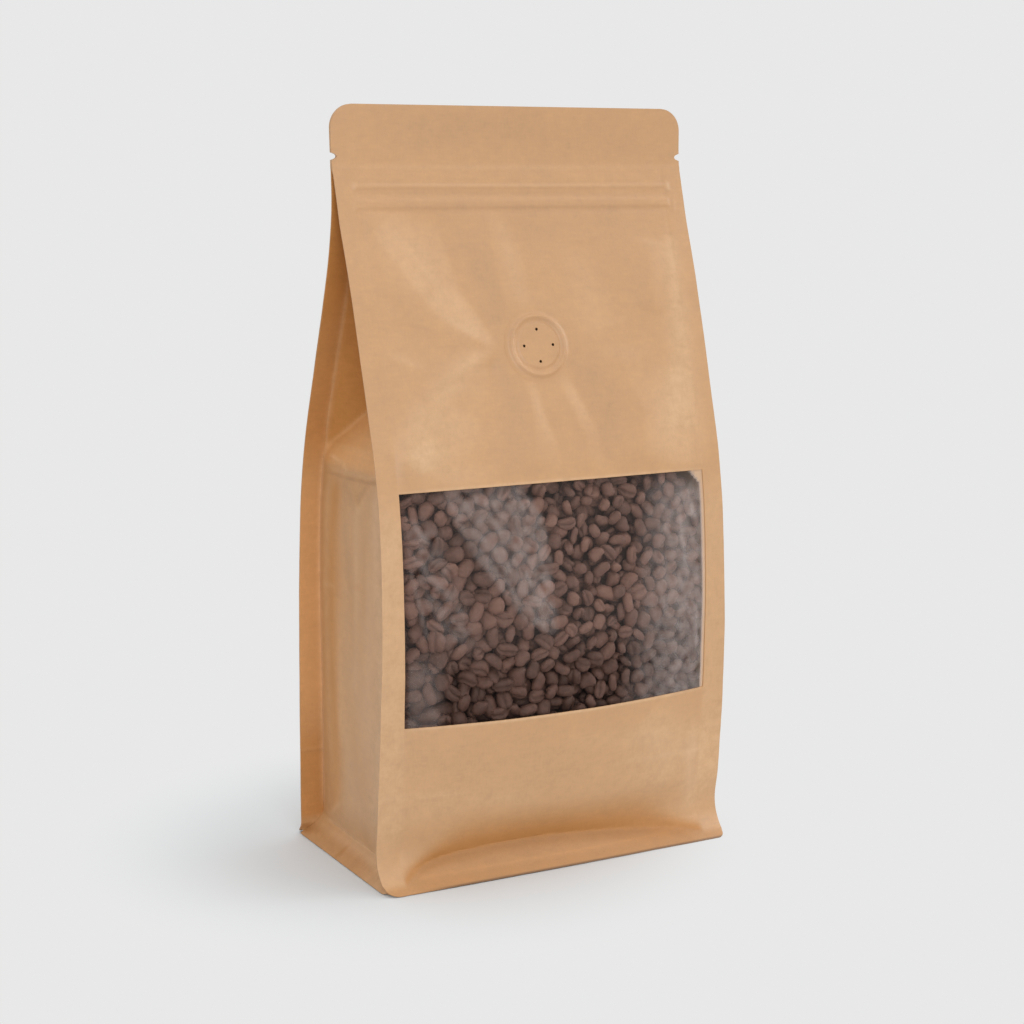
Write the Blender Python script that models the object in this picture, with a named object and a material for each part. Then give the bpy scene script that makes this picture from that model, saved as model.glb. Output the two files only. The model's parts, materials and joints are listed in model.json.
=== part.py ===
"""A stand-up coffee pouch with a flat bottom, in brown kraft laminate.

The pouch is one shell of sheet. Its front and back panels stand out past the sides as sealed fins,
its two gussets fold inwards above the beans, its base spreads into a short sealed skirt, and its
flat header has rounded corners, tear notches and the ridges of a press-close strip. A clear window
in the front panel shows the beans, and a degassing valve is let into the panel above it.

Metres, +Z up. The front looks along -Y, and the origin is under the middle of the base.
"""

import math

import bmesh
import bpy
import numpy as np
from mathutils import Euler, Matrix, Vector

# Sheet
WALL = 0.0005
FIN_THICKNESS = 0.0006
CLEARANCE = 0.0003

# Outer size
HEIGHT = 0.260
HALF_WIDTH = 0.0678
SEAM_X = 0.0593
GUSSET_HALF_WIDTH = 0.036

# Base skirt
SKIRT_HEIGHT = 0.0095
SKIRT_CURVE = 1.6
BASE_CORNER_RADIUS = 0.0055

# Header
HEADER_BOTTOM = 0.236
TOP_CORNER_RADIUS = 0.008
NOTCH_HEIGHT = 0.243
NOTCH_RADIUS = 0.0012
NOTCH_DEPTH = 0.0023
ZIP_RIDGES = (0.2272, 0.2325)
ZIP_RIDGE_WIDTH = 0.0032
ZIP_RIDGE_RELIEF = 0.0004

# Window
WINDOW_HALF_WIDTH = 0.0584
WINDOW_BOTTOM = 0.0565
WINDOW_TOP = 0.1345
FILM_THICKNESS = 0.0003
FILM_RECESS = 0.0001

# Gusset: bowed out over the filling, creased inwards above it
FOLD_START = 0.142
FOLD_END = 0.172
GUSSET_BOW = 0.0016
BOW_RISE = 0.020

# Hollow and beans
CAVITY_FLOOR = 0.0010
CAVITY_TOP = 0.225
FILL_LEVEL = 0.1365
FILL_DROP = 0.0075
FILL_DROP_START = 0.030
HEAP_BUMPS = 0.0012
HEAP_BUMP_LENGTH = 0.0042

# Valve
VALVE_HEIGHT = 0.180
VALVE_RADIUS = 0.0110
VALVE_THICKNESS = 0.0005
VALVE_RIM_INNER = 0.0092
VALVE_RIM_RELIEF = 0.0009
VALVE_FACE_RELIEF = 0.0004
VALVE_BEVEL = 0.0004
VALVE_SIDES = 40
PINHOLE_RADIUS = 0.00045
PINHOLE_CIRCLE = 0.0056
PINHOLES = 4

# Side outlines of the panels' outer edges: (height, distance from the middle plane)
FRONT_EDGE = (
    (0.000, -0.0395), (0.004, -0.0345), (0.009, -0.0312), (0.024, -0.0322), (0.056, -0.0348),
    (0.087, -0.0358), (0.107, -0.0351), (0.126, -0.0335), (0.145, -0.0301), (0.164, -0.0247),
    (0.183, -0.0193), (0.202, -0.0135), (0.220, -0.0072), (0.230, -0.0042), (0.236, -0.0024),
    (0.241, -0.0015), (0.260, -0.0008),
)
BACK_EDGE = (
    (0.000, 0.0400), (0.003, 0.0366), (0.007, 0.0354), (0.015, 0.0351), (0.049, 0.0347),
    (0.097, 0.0350), (0.126, 0.0329), (0.148, 0.0277), (0.170, 0.0190), (0.192, 0.0100),
    (0.211, 0.0032), (0.222, 0.0006), (0.230, -0.0001), (0.236, -0.0001), (0.241, 0.0002),
    (0.260, 0.0008),
)

# How far the middle of each panel stands out past its edges: (height, distance)
FRONT_BULGE = (
    (0.000, 0.0004), (0.009, 0.0020), (0.024, 0.0048), (0.050, 0.0068), (0.075, 0.0062),
    (0.100, 0.0045), (0.120, 0.0020), (0.1345, 0.0004), (0.155, -0.0010), (0.190, -0.0012),
    (0.220, -0.0006), (0.236, 0.0), (0.260, 0.0),
)
BACK_BULGE = (
    (0.000, 0.0004), (0.009, 0.0018), (0.030, 0.0045), (0.055, 0.0060), (0.090, 0.0050),
    (0.120, 0.0030), (0.145, 0.0010), (0.180, -0.0005), (0.220, -0.0003), (0.236, 0.0),
    (0.260, 0.0),
)

# How far the bulging panels draw their side edges in: (height, distance)
EDGE_PULL = (
    (0.000, 0.0), (0.045, 0.0), (0.076, 0.0005), (0.110, 0.0011), (0.145, 0.0012),
    (0.183, 0.0008), (0.220, 0.0004), (0.236, 0.0003), (0.260, 0.0),
)

# Heights of the rings of points
BODY_LEVELS = (
    0.0, 0.0015, 0.0032, 0.0050, 0.0070, SKIRT_HEIGHT, 0.014, 0.020, 0.029, 0.038, 0.047,
    WINDOW_BOTTOM, 0.067, 0.078, 0.090, 0.102, 0.113, 0.124, WINDOW_TOP, 0.139, 0.144, 0.149,
    0.154, 0.160, 0.167, 0.175, 0.185, 0.196, 0.207, 0.216, 0.2225, 0.2256, 0.2264, 0.2280,
    0.2288, 0.2309, 0.2317, 0.2333, 0.2341, HEADER_BOTTOM,
)
HOLLOW_LEVELS = (
    SKIRT_HEIGHT, 0.014, 0.020, 0.029, 0.038, 0.047, WINDOW_BOTTOM, 0.067, 0.078, 0.090, 0.102,
    0.113, 0.124, WINDOW_TOP, 0.144, 0.149, 0.154, 0.160, 0.167, 0.175, 0.185, 0.200, 0.213,
    CAVITY_TOP,
)
NOTCH_STEPS = (-1.0, -0.85, -0.5, 0.0, 0.5, 0.85, 1.0)
CORNER_STEPS = (0.0, 0.3, 0.55, 0.76, 0.91, 1.0)
HEAP_RINGS = (0.84, 0.66, 0.48, 0.30, 0.14)

WINDOW_SEGMENTS = 12
BACK_SEGMENTS = 10
FIN_SEGMENTS = 2
# Places across a gusset, from -1 at its front seam to 1 at its rear seam. The middle two are its
# centre crease.
CREASE = 0.04
GUSSET_COLUMNS = (-0.66, -0.33, -CREASE, CREASE, 0.33, 0.66)

KRAFT_COLOUR = (0.578, 0.371, 0.208, 1.0)
FILM_COLOUR = (0.80, 0.82, 0.84, 0.30)
BEAN_COLOUR = (0.075, 0.042, 0.032, 1.0)


def curve_through(points):
    """A smooth function that runs through (position, value) pairs and is level beyond them."""
    at, value = np.array(points).T
    slope = np.diff(value) / np.diff(at)
    tangent = np.concatenate([slope[:1], (slope[:-1] + slope[1:]) / 2, slope[-1:]])

    def read(position):
        position = min(max(position, at[0]), at[-1])
        i = min(int(np.searchsorted(at, position, side="right")) - 1, len(at) - 2)
        span = at[i + 1] - at[i]
        t = (position - at[i]) / span
        risen = t * t * (3 - 2 * t)
        start = tangent[i] * span * t * (1 - t) ** 2
        end = tangent[i + 1] * span * t * t * (t - 1)
        return float(value[i] * (1 - risen) + value[i + 1] * risen + start + end)

    return read


front_edge = curve_through(FRONT_EDGE)
back_edge = curve_through(BACK_EDGE)
front_bulge = curve_through(FRONT_BULGE)
back_bulge = curve_through(BACK_BULGE)
edge_pull = curve_through(EDGE_PULL)


def mix(a, b, share):
    return a + (b - a) * share


def eased(value, start, end):
    """0 up to start, 1 from end on, and a smooth step between them."""
    t = min(max((value - start) / (end - start), 0.0), 1.0)
    return t * t * (3 - 2 * t)


def half_width(z):
    """Half the panels' width: drawn in by the filling, notched, and rounded at the top corners."""
    width = HALF_WIDTH - edge_pull(z)
    from_notch = abs(z - NOTCH_HEIGHT) / NOTCH_RADIUS
    if from_notch < 1:
        width -= NOTCH_DEPTH * math.sqrt(1 - from_notch**2)
    above = min(max(z - (HEIGHT - TOP_CORNER_RADIUS), 0.0), TOP_CORNER_RADIUS)
    return width - TOP_CORNER_RADIUS + math.sqrt(TOP_CORNER_RADIUS**2 - above**2)


def seam_x(z):
    """Where a panel's side seal begins, drawn in with the rounded top corners."""
    if z > HEIGHT - TOP_CORNER_RADIUS:
        return SEAM_X * half_width(z) / HALF_WIDTH
    return SEAM_X


def zip_relief(x, z):
    """How far the press-close strip inside pushes a panel out."""
    nearest = min(abs(z - ridge) for ridge in ZIP_RIDGES)
    risen = 1 - eased(nearest, ZIP_RIDGE_WIDTH / 4, ZIP_RIDGE_WIDTH / 2)
    return ZIP_RIDGE_RELIEF * risen if abs(x) < SEAM_X else 0.0


def panel_y(x, z, back=False):
    """The outer face of the front or the back panel between its side seals."""
    arch = 1 - min(abs(x) / SEAM_X, 1.0) ** 2
    if back:
        return back_edge(z) + back_bulge(z) * arch + zip_relief(x, z)
    return front_edge(z) - front_bulge(z) * arch - zip_relief(x, z)


def front_columns():
    window = np.linspace(-WINDOW_HALF_WIDTH, WINDOW_HALF_WIDTH, WINDOW_SEGMENTS + 1)
    return [-SEAM_X, *window.tolist(), SEAM_X]


def back_columns():
    return np.linspace(SEAM_X, -SEAM_X, BACK_SEGMENTS + 1).tolist()


def fin_points(z, back=False):
    """A right-hand corner's points from the panel's seam to the gusset's. They go round a fin,
    which spreads into the round corner of the base below the skirt's height."""
    side = 1 if back else -1
    edge = back_edge if back else front_edge
    shares = [k / FIN_SEGMENTS for k in range(FIN_SEGMENTS + 1)]
    fin = [(mix(seam_x(z), half_width(z), share), edge(z)) for share in shares[1:]]
    inside = edge(z) - side * FIN_THICKNESS
    fin += [(mix(half_width(z), seam_x(z), share), inside) for share in shares]
    spread = (1 - min(z / SKIRT_HEIGHT, 1.0)) ** SKIRT_CURVE
    centre_x = HALF_WIDTH - BASE_CORNER_RADIUS
    centre_y = edge(0) - side * BASE_CORNER_RADIUS
    points = []
    for k, (x, y) in enumerate(fin, start=1):
        turn = math.pi / 2 * k / len(fin)
        round_x = centre_x + BASE_CORNER_RADIUS * math.sin(turn)
        round_y = centre_y + side * BASE_CORNER_RADIUS * math.cos(turn)
        points.append((mix(x, round_x, spread), mix(y, round_y, spread)))
    return points


def gusset_points(z):
    """The right-hand gusset's columns from front to rear, without its seams."""
    seam, front = fin_points(z)[-1]
    rear = fin_points(z, back=True)[-1][1]
    half_gap = (rear - front) / 2
    folded = eased(z, FOLD_START, FOLD_END)
    depth = math.sqrt(GUSSET_HALF_WIDTH**2 - half_gap**2) if folded else 0.0
    bow = GUSSET_BOW * eased(z, 0, BOW_RISE)
    points = []
    for s in GUSSET_COLUMNS:
        bowed = seam + bow * (1 - s**2)
        creased = seam - depth * (1 - abs(s))
        points.append((mix(bowed, creased, folded), front + half_gap * (1 + s)))
    return points


def closed_ring(front, right, back, z):
    """The ring at height z, anticlockwise from above, its left side mirrored from its right."""
    left = [(-x, y) for x, y in reversed(right)]
    return [Vector((x, y, z)) for x, y in [*front, *right, *back, *left]]


def outer_ring(z):
    """The pouch's outline at height z, from its front panel's left seam on."""
    narrowed = seam_x(z) / SEAM_X
    front = [(x * narrowed, panel_y(x, z)) for x in front_columns()]
    back = [(x * narrowed, panel_y(x, z, back=True)) for x in back_columns()]
    right = fin_points(z) + gusset_points(z) + fin_points(z, back=True)[::-1]
    return closed_ring(front, right, back, z)


def fold_columns():
    """The places in the outer ring that end under the header: on each side, from the inner edge
    of the front fin's tip, round the gusset, to that of the rear fin's."""
    side = 2 * (2 * FIN_SEGMENTS + 1) + len(GUSSET_COLUMNS)
    right = len(front_columns())
    left = right + side + len(back_columns())
    fold = range(FIN_SEGMENTS, side - FIN_SEGMENTS)
    return [[start + k for k in fold] for start in (right, left)]


def inner_corner(panel, seam, flank, inset):
    """Where a panel's inner face, at this y, meets the inner face of the gusset beside it."""
    direction = (flank - seam).normalized()
    inwards = Vector((-direction.y, direction.x)) * math.copysign(1, direction.y)
    start = seam + inset * inwards
    return start + direction * ((panel - start.y) / direction.y)


def inner_ring(z, inset):
    """The outline at height z this far inside the outer faces, from the window's left edge on."""
    level = max(z, SKIRT_HEIGHT)
    seams = fin_points(level)[-1], fin_points(level, back=True)[-1]
    gusset = [Vector(point) for point in (seams[0], *gusset_points(level), seams[1])]
    front_y = panel_y(SEAM_X, level) + inset
    back_y = panel_y(SEAM_X, level, back=True) - inset
    front_corner = inner_corner(front_y, gusset[0], gusset[1], inset)
    back_corner = inner_corner(back_y, gusset[-1], gusset[-2], inset)
    right = [tuple(front_corner)]
    for before, point, after, s in zip(gusset, gusset[1:], gusset[2:], GUSSET_COLUMNS):
        direction = (after - before).normalized()
        crease = inset * eased(level, FOLD_START, FOLD_END) * (abs(s) == CREASE)
        x = point.x - inset * direction.y - crease
        right.append((x, point.y + inset * direction.x))
    right.append(tuple(back_corner))
    front_share = front_corner.x / (SEAM_X - inset)
    back_share = back_corner.x / (SEAM_X - inset)
    front = [(x * front_share, panel_y(x, level) + inset) for x in front_columns()[1:-1]]
    back = [(x * back_share, panel_y(x, level, back=True) - inset) for x in back_columns()[1:-1]]
    return closed_ring(front, right, back, z)


def add_points(bm, points):
    return [bm.verts.new(point) for point in points]


def join_rings(bm, lower, upper, skipped=()):
    """Quads between two closed rings of equal length, leaving out the skipped places."""
    for k in range(len(lower)):
        after = (k + 1) % len(lower)
        if k not in skipped:
            bm.faces.new((lower[k], lower[after], upper[after], upper[k]))


def join_rows(bm, lower, upper):
    """Quads between two open rows of equal length."""
    for k in range(len(lower) - 1):
        bm.faces.new((lower[k], lower[k + 1], upper[k + 1], upper[k]))


def border(rows):
    """The points round the edge of a grid given as rows."""
    bottom, top = rows[0], rows[-1]
    right = [row[-1] for row in rows[1:-1]]
    left = [row[0] for row in rows[1:-1]]
    return [*bottom, *right, *reversed(top), *reversed(left)]


def build_pouch(bm):
    """The outer and the inner skin, joined round the window's cut edge."""
    window_levels = [z for z in BODY_LEVELS if WINDOW_BOTTOM <= z <= WINDOW_TOP]
    outer = [add_points(bm, outer_ring(z)) for z in BODY_LEVELS]
    floor = add_points(bm, inner_ring(CAVITY_FLOOR, WALL))
    inner = [floor, *(add_points(bm, inner_ring(z, WALL)) for z in HOLLOW_LEVELS)]
    hollow_levels = (CAVITY_FLOOR, *HOLLOW_LEVELS)

    def add_skin(rings, levels, first_column):
        opening = range(first_column, first_column + WINDOW_SEGMENTS)
        for lower, upper, z in zip(rings, rings[1:], levels):
            join_rings(bm, lower, upper, opening if z in window_levels[:-1] else ())
        columns = slice(first_column, first_column + WINDOW_SEGMENTS + 1)
        rows = [ring[columns] for ring, z in zip(rings, levels) if z in window_levels]
        return border(rows)

    outer_edge = add_skin(outer, BODY_LEVELS, first_column=1)
    inner_edge = add_skin(inner, hollow_levels, first_column=0)
    join_rings(bm, outer_edge, inner_edge)
    bm.faces.new(inner[0])
    bm.faces.new(inner[-1])
    bm.faces.new(outer[0])
    add_header(bm, outer[-1])


def add_header(bm, top_ring):
    """The flat header over the body's top ring, and the ceilings of the two gusset folds."""
    folds = fold_columns()
    hidden = {k for fold in folds for k in fold[1:-1]}
    kept = [k for k in range(len(top_ring)) if k not in hidden]
    notch = [NOTCH_HEIGHT + step * NOTCH_RADIUS for step in NOTCH_STEPS]
    corner = [HEIGHT - TOP_CORNER_RADIUS * (1 - step) for step in CORNER_STEPS]
    rings = [[top_ring[k] for k in kept]]
    for z in (HEADER_BOTTOM + 0.003, *notch, *corner):
        ring = outer_ring(z)
        rings.append(add_points(bm, [ring[k] for k in kept]))
    for lower, upper in zip(rings, rings[1:]):
        join_rings(bm, lower, upper)
    bm.faces.new(rings[-1])
    for fold in folds:
        bm.faces.new([top_ring[k] for k in fold])


def build_film(bm):
    """A thin sheet that follows the front panel inside the window's cut edge."""
    reach = WINDOW_HALF_WIDTH - CLEARANCE
    columns = np.linspace(-reach, reach, WINDOW_SEGMENTS + 1)
    levels = [z for z in BODY_LEVELS if WINDOW_BOTTOM < z < WINDOW_TOP]
    levels = [WINDOW_BOTTOM + CLEARANCE, *levels, WINDOW_TOP - CLEARANCE]
    skins = []
    for depth in (FILM_RECESS, FILM_RECESS + FILM_THICKNESS):
        rows = [
            add_points(bm, [Vector((x, panel_y(x, z) + depth, z)) for x in columns])
            for z in levels
        ]
        for lower, upper in zip(rows, rows[1:]):
            join_rows(bm, lower, upper)
        skins.append(border(rows))
    join_rings(bm, *skins)


def fill_height(x, y):
    """The top of the heap of beans: level but for a drop to the right and bean-sized bumps."""
    drop = FILL_DROP * eased(x, FILL_DROP_START, WINDOW_HALF_WIDTH)
    bumps = math.sin(x / HEAP_BUMP_LENGTH + 1) * math.cos(y / HEAP_BUMP_LENGTH)
    return FILL_LEVEL - drop + HEAP_BUMPS * bumps


def build_beans(bm):
    """The filling as one solid inside the pouch's hollow, with an uneven top."""
    inset = WALL + CLEARANCE
    lowest_top = FILL_LEVEL - FILL_DROP - HEAP_BUMPS
    levels = [CAVITY_FLOOR + CLEARANCE, *(z for z in HOLLOW_LEVELS if z < lowest_top)]
    rings = [inner_ring(z, inset) for z in levels]
    rim = inner_ring(FILL_LEVEL, inset)
    rings.append([Vector((p.x, p.y, fill_height(p.x, p.y))) for p in rim])
    centre = sum(rim, Vector()) / len(rim)
    for shrink in HEAP_RINGS:
        flat = [centre + (p - centre) * shrink for p in rim]
        rings.append([Vector((p.x, p.y, fill_height(p.x, p.y))) for p in flat])
    rings = [add_points(bm, ring) for ring in rings]
    for lower, upper in zip(rings, rings[1:]):
        join_rings(bm, lower, upper)
    bm.faces.new(rings[0])
    tip = bm.verts.new((centre.x, centre.y, fill_height(centre.x, centre.y)))
    for here, there in zip(rings[-1], rings[-1][1:] + rings[-1][:1]):
        bm.faces.new((here, there, tip))


def build_valve(bm):
    """A turned disc about its own Z axis: a face set below a raised rim. Z = 0 is the panel."""
    profile = (
        (VALVE_RIM_INNER - VALVE_BEVEL, VALVE_FACE_RELIEF),
        (VALVE_RIM_INNER, VALVE_RIM_RELIEF),
        (VALVE_RADIUS - VALVE_BEVEL, VALVE_RIM_RELIEF),
        (VALVE_RADIUS, VALVE_RIM_RELIEF - VALVE_BEVEL),
        (VALVE_RADIUS, -VALVE_THICKNESS),
    )
    rings = []
    for radius, height in profile:
        spokes = [2 * math.pi * k / VALVE_SIDES for k in range(VALVE_SIDES)]
        rings.append(add_points(
            bm, [(radius * math.cos(turn), radius * math.sin(turn), height) for turn in spokes]
        ))
    for lower, upper in zip(rings, rings[1:]):
        join_rings(bm, lower, upper)
    bm.faces.new(rings[0])
    bm.faces.new(rings[-1])


def build_pinholes(bm):
    """Cutters for the valve's pinholes, right through its face."""
    for k in range(PINHOLES):
        turn = math.pi / 2 + 2 * math.pi * k / PINHOLES
        place = Vector((math.cos(turn), math.sin(turn), 0)) * PINHOLE_CIRCLE
        add_cylinder(bm, PINHOLE_RADIUS, 4 * VALVE_RIM_RELIEF, place, sides=10)


def add_cylinder(bm, radius, length, place=Vector(), sides=VALVE_SIDES):
    bmesh.ops.create_cone(
        bm, cap_ends=True, segments=sides, radius1=radius, radius2=radius, depth=length,
        matrix=Matrix.Translation(place),
    )


def new_material(name, colour, roughness, alpha=1.0):
    material = bpy.data.materials.new(name)
    material.use_nodes = True
    shader = material.node_tree.nodes["Principled BSDF"]
    shader.inputs["Base Color"].default_value = colour
    shader.inputs["Roughness"].default_value = roughness
    shader.inputs["Alpha"].default_value = alpha
    return material


def new_object(name, build, material=None):
    bm = bmesh.new()
    build(bm)
    bmesh.ops.recalc_face_normals(bm, faces=bm.faces)
    mesh = bpy.data.meshes.new(name)
    bm.to_mesh(mesh)
    bm.free()
    mesh.shade_smooth()
    mesh.set_sharp_from_angle(angle=math.radians(35))
    if material:
        mesh.materials.append(material)
    result = bpy.data.objects.new(name, mesh)
    bpy.context.scene.collection.objects.link(result)
    return result


def cut(target, cutter):
    cutter.hide_render = True
    cutter.display_type = "WIRE"
    boolean = target.modifiers.new(cutter.name, "BOOLEAN")
    boolean.operation = "DIFFERENCE"
    boolean.solver = "EXACT"
    boolean.object = cutter


def place_on_panel(target):
    """Stands an object on the front panel at the valve's place, its Z axis out of the panel."""
    step = 0.001
    rise = panel_y(0, VALVE_HEIGHT + step) - panel_y(0, VALVE_HEIGHT - step)
    lean = math.atan2(rise, 2 * step)
    target.location = (0, panel_y(0, VALVE_HEIGHT), VALVE_HEIGHT)
    target.rotation_euler = Euler((math.pi / 2 - lean, 0, 0))


def main():
    for old in list(bpy.data.objects):
        bpy.data.objects.remove(old)
    kraft = new_material("kraft_laminate", KRAFT_COLOUR, roughness=0.6)
    valve_kraft = new_material("valve_laminate", KRAFT_COLOUR, roughness=0.55)
    film = new_material("clear_film", FILM_COLOUR, roughness=0.15, alpha=FILM_COLOUR[3])
    roast = new_material("roasted_coffee", BEAN_COLOUR, roughness=0.6)

    pouch = new_object("pouch", build_pouch, kraft)
    new_object("window_film", build_film, film)
    new_object("coffee_beans", build_beans, roast)
    valve = new_object("valve", build_valve, valve_kraft)
    pinholes = new_object("pinhole_cutters", build_pinholes)
    seat = new_object(
        "valve_seat_cutter", lambda bm: add_cylinder(bm, VALVE_RADIUS + CLEARANCE, VALVE_RADIUS)
    )
    for placed in (valve, pinholes, seat):
        place_on_panel(placed)
    cut(valve, pinholes)
    cut(pouch, seat)


if __name__ == "__main__":
    main()
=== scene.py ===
"""A flat-bottomed kraft coffee pouch, standing on a pale floor.

Four sheets of kraft laminate are sealed to each other at the pouch's fins and folded inwards at
its sides, a base sheet closes it below, a film window shows the beans, and a degassing valve is
pressed out of the front. Lengths in the shape functions are millimetres; meshes are in metres.
"""

import json
import math

import bmesh
import bpy
import numpy as np
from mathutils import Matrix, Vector
from mathutils.geometry import convex_hull_2d

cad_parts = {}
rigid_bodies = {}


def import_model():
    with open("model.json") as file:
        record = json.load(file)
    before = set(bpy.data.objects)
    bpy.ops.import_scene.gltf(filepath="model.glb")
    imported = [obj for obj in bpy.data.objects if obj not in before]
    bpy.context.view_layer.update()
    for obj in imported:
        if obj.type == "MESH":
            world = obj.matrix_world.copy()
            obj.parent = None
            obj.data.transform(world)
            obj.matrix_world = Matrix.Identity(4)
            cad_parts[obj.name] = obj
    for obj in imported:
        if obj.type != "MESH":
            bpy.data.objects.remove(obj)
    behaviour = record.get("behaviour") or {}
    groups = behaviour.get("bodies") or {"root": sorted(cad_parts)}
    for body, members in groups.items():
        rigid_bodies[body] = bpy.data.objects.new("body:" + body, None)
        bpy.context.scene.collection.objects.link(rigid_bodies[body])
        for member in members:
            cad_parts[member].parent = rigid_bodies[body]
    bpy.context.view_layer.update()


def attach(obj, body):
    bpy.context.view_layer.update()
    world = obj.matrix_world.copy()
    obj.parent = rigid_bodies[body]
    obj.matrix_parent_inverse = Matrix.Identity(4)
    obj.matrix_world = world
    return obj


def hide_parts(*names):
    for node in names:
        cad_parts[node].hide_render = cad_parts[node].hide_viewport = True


bl_info = {
    "name": "Kraft Coffee Pouch",
    "version": (1, 0, 0),
    "blender": (4, 5, 0),
    "location": "3D View > Sidebar > Pouch",
    "description": "Builds a flat-bottomed kraft pouch with a window, a valve and its beans",
    "category": "Add Mesh",
}

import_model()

MM = 0.001
BODY = "root"

# Outer size, in millimetres as all that follows
HEIGHT = 260.0
HALF_WIDTH = 67.8
SEAM_X = 59.3
GUSSET_HALF_WIDTH = 36.0

# Sheets
SHEET = 0.28
FIN_THICKNESS = 0.6
FILM_DEPTH = 0.31
FILM_SHEET = 0.08

# Base skirt: its height and how sharply it turns out, at the corners and amid a side
SKIRT_HEIGHT = 9.5
SKIRT_CURVE = 1.6
SIDE_SKIRT_HEIGHT = 6.2
SIDE_SKIRT_CURVE = 1.0
# How far the sheets' lower edges are above the floor
LIFT = 0.4
# How far each lower corner of the sheets is rounded off: (across, up)
SHEET_CORNERS = {
    "front left": (5.4, 3.4), "front right": (3.2, 2.4),
    "back left": (1.5, 1.0), "back right": (2.0, 1.4),
}
# The base's corners seen from above: (radius, how far the panel's fin wraps round it)
CORNERS = {
    "front left": (1.2, math.radians(45)), "front right": (1.8, math.radians(45)),
    "back left": (2.2, math.radians(35)), "back right": (2.6, math.radians(40)),
}

# Header
SEAL_LINE = 239.5
TOP_CORNER_RADIUS = 8.0
NOTCH_HEIGHT = 243.0
NOTCH_HALF_HEIGHT = 1.1
NOTCH_DEPTH = 1.9
# The press-close strip's ridges and the sunk lines by them: (height, half width, relief)
ZIP_LINES = ((233.1, 0.9, 0.30), (227.4, 2.0, 0.30))
ZIP_SINK = ((230.4, 1.3, 0.22), (224.8, 1.2, 0.16))

# Window
WINDOW_HALF_WIDTH = 59.0
WINDOW_BOTTOM = 56.4
WINDOW_TOP = 134.5
FILM_OVERLAP = 2.0

# Valve
VALVE_HEIGHT = 179.6
VALVE_REACH = 13.0

# Side outlines of the panels' outer edges: (height, distance from the middle plane)
FRONT_EDGE = (
    (0, -39.5), (4, -34.5), (9, -31.2), (24, -32.2), (56, -34.8), (87, -35.8), (107, -35.1),
    (126, -33.5), (145, -30.1), (164, -24.7), (183, -19.3), (202, -13.5), (220, -7.2),
    (230, -4.2), (236, -2.4), (241, -1.2), (260, -0.7),
)
BACK_EDGE = (
    (0, 41.3), (2, 38.6), (4, 36.6), (7, 35.5), (15, 35.1), (49, 34.7), (97, 35.0), (126, 32.9),
    (148, 27.7), (170, 19.0), (192, 10.0), (211, 3.2), (222, 0.6), (230, -0.1), (236, -0.1),
    (241, 0.2), (260, 0.6),
)

# How far the middle of each panel stands out past its edges: (height, distance)
FRONT_BULGE = (
    (0, 0.4), (9, 2.0), (24, 4.8), (50, 6.8), (75, 6.2), (100, 4.5), (120, 2.0), (134.5, 0.4),
    (155, -1.0), (190, -1.2), (220, -0.6), (236, 0), (260, 0),
)
BACK_BULGE = (
    (0, 0.4), (9, 1.8), (30, 4.5), (55, 6.0), (90, 5.0), (120, 3.0), (145, 1.0), (180, -0.5),
    (220, -0.3), (236, 0), (260, 0),
)

# The valley where the panels turn out into the skirt: (x, height)
VALLEY = (
    (-59.3, 3.0), (-56, 5.0), (-46, 8.2), (-30, 9.7), (-5, 10.0), (15, 8.7), (35, 6.7), (50, 4.9),
    (57, 3.7), (59.3, 3.2),
)

# How far the bulging panels draw their side edges in: (height, distance)
EDGE_PULL = (
    (0, 0), (45, 0), (76, 0.5), (110, 1.1), (145, 1.2), (183, 0.8), (220, 0.4), (236, 0.3),
    (260, 0),
)

# Creases between the front panel's flat facets, each as (height, x) pairs, left to right, with
# the relief at each
UPPER_CREASES = (
    (((180, -40), (198, -56), (222, -68)), 0.0),
    (((181, -21), (190, -36), (198, -43), (221, -58)), 0.5),
    (((179, -14), (199, -27), (222, -32)), -0.6),
    (((184, -9), (203, -12), (221, -13)), 0.3),
    (((190, -2.5), (200, 0), (215, -1.5), (222, -4)), -0.25),
    (((180, 16), (222, 14)), 0.0),
)
LOWER_CREASES = (
    (((136, -66), (178, -42)), 0.0),
    (((137, -62), (150, -55), (168, -39), (177, -21)), 0.9),
    (((137, -36), (158, -23), (173, -19.5), (178, -16)), -0.9),
    (((140, -7), (158, -6), (170, -5.5)), 0.4),
    (((146, 2.5), (158, -1.5), (170, -2)), -0.1),
    (((150, 13), (164, 7.5), (172, 5)), 0.35),
    (((150, 19), (164, 12.5), (172, 9.5)), -0.2),
    (((144, 36), (156, 38), (170, 32)), 0.6),
    (((137, 49), (164, 54)), -0.3),
    (((137, 62), (164, 62)), 0.0),
)
# Soft folds: from (x, z), to (x, z), half width, relief outwards
FRONT_FOLDS = (
    ((50, 214), (46, 190), 6.0, 0.6),
    ((24, 214), (30, 186), 9.0, -0.4),
    ((-50, 176), (-46, 188), 7.0, -0.4),
)
# Fine creases: the same, with a half width under a millimetre or two
FRONT_CREASES = (
    ((-66, 32.5), (-38, 31.2), 0.8, 0.12),
    ((-30, 31.0), (4, 32.6), 0.9, 0.08),
    ((20, 34.5), (48, 33.4), 0.8, 0.09),
    ((48, 31.0), (66, 32.0), 0.9, 0.12),
    ((-44, 24.0), (-18, 27.5), 1.1, 0.08),
    ((-60.6, 234.4), (-60.6, 232.0), 0.6, 0.25),
    ((61.4, 234.4), (61.4, 231.2), 0.6, 0.28),
    ((-61.5, 229), (-60.9, 225), 0.6, 0.18),
    ((63.0, 228), (62.4, 224), 0.6, 0.18),
    ((-68, 134.6), (-59, 134.6), 0.6, -0.12),
    ((-52, 220), (-24, 186), 1.2, 0.10),
    ((38, 230), (46, 231), 0.8, 0.12),
)
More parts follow.
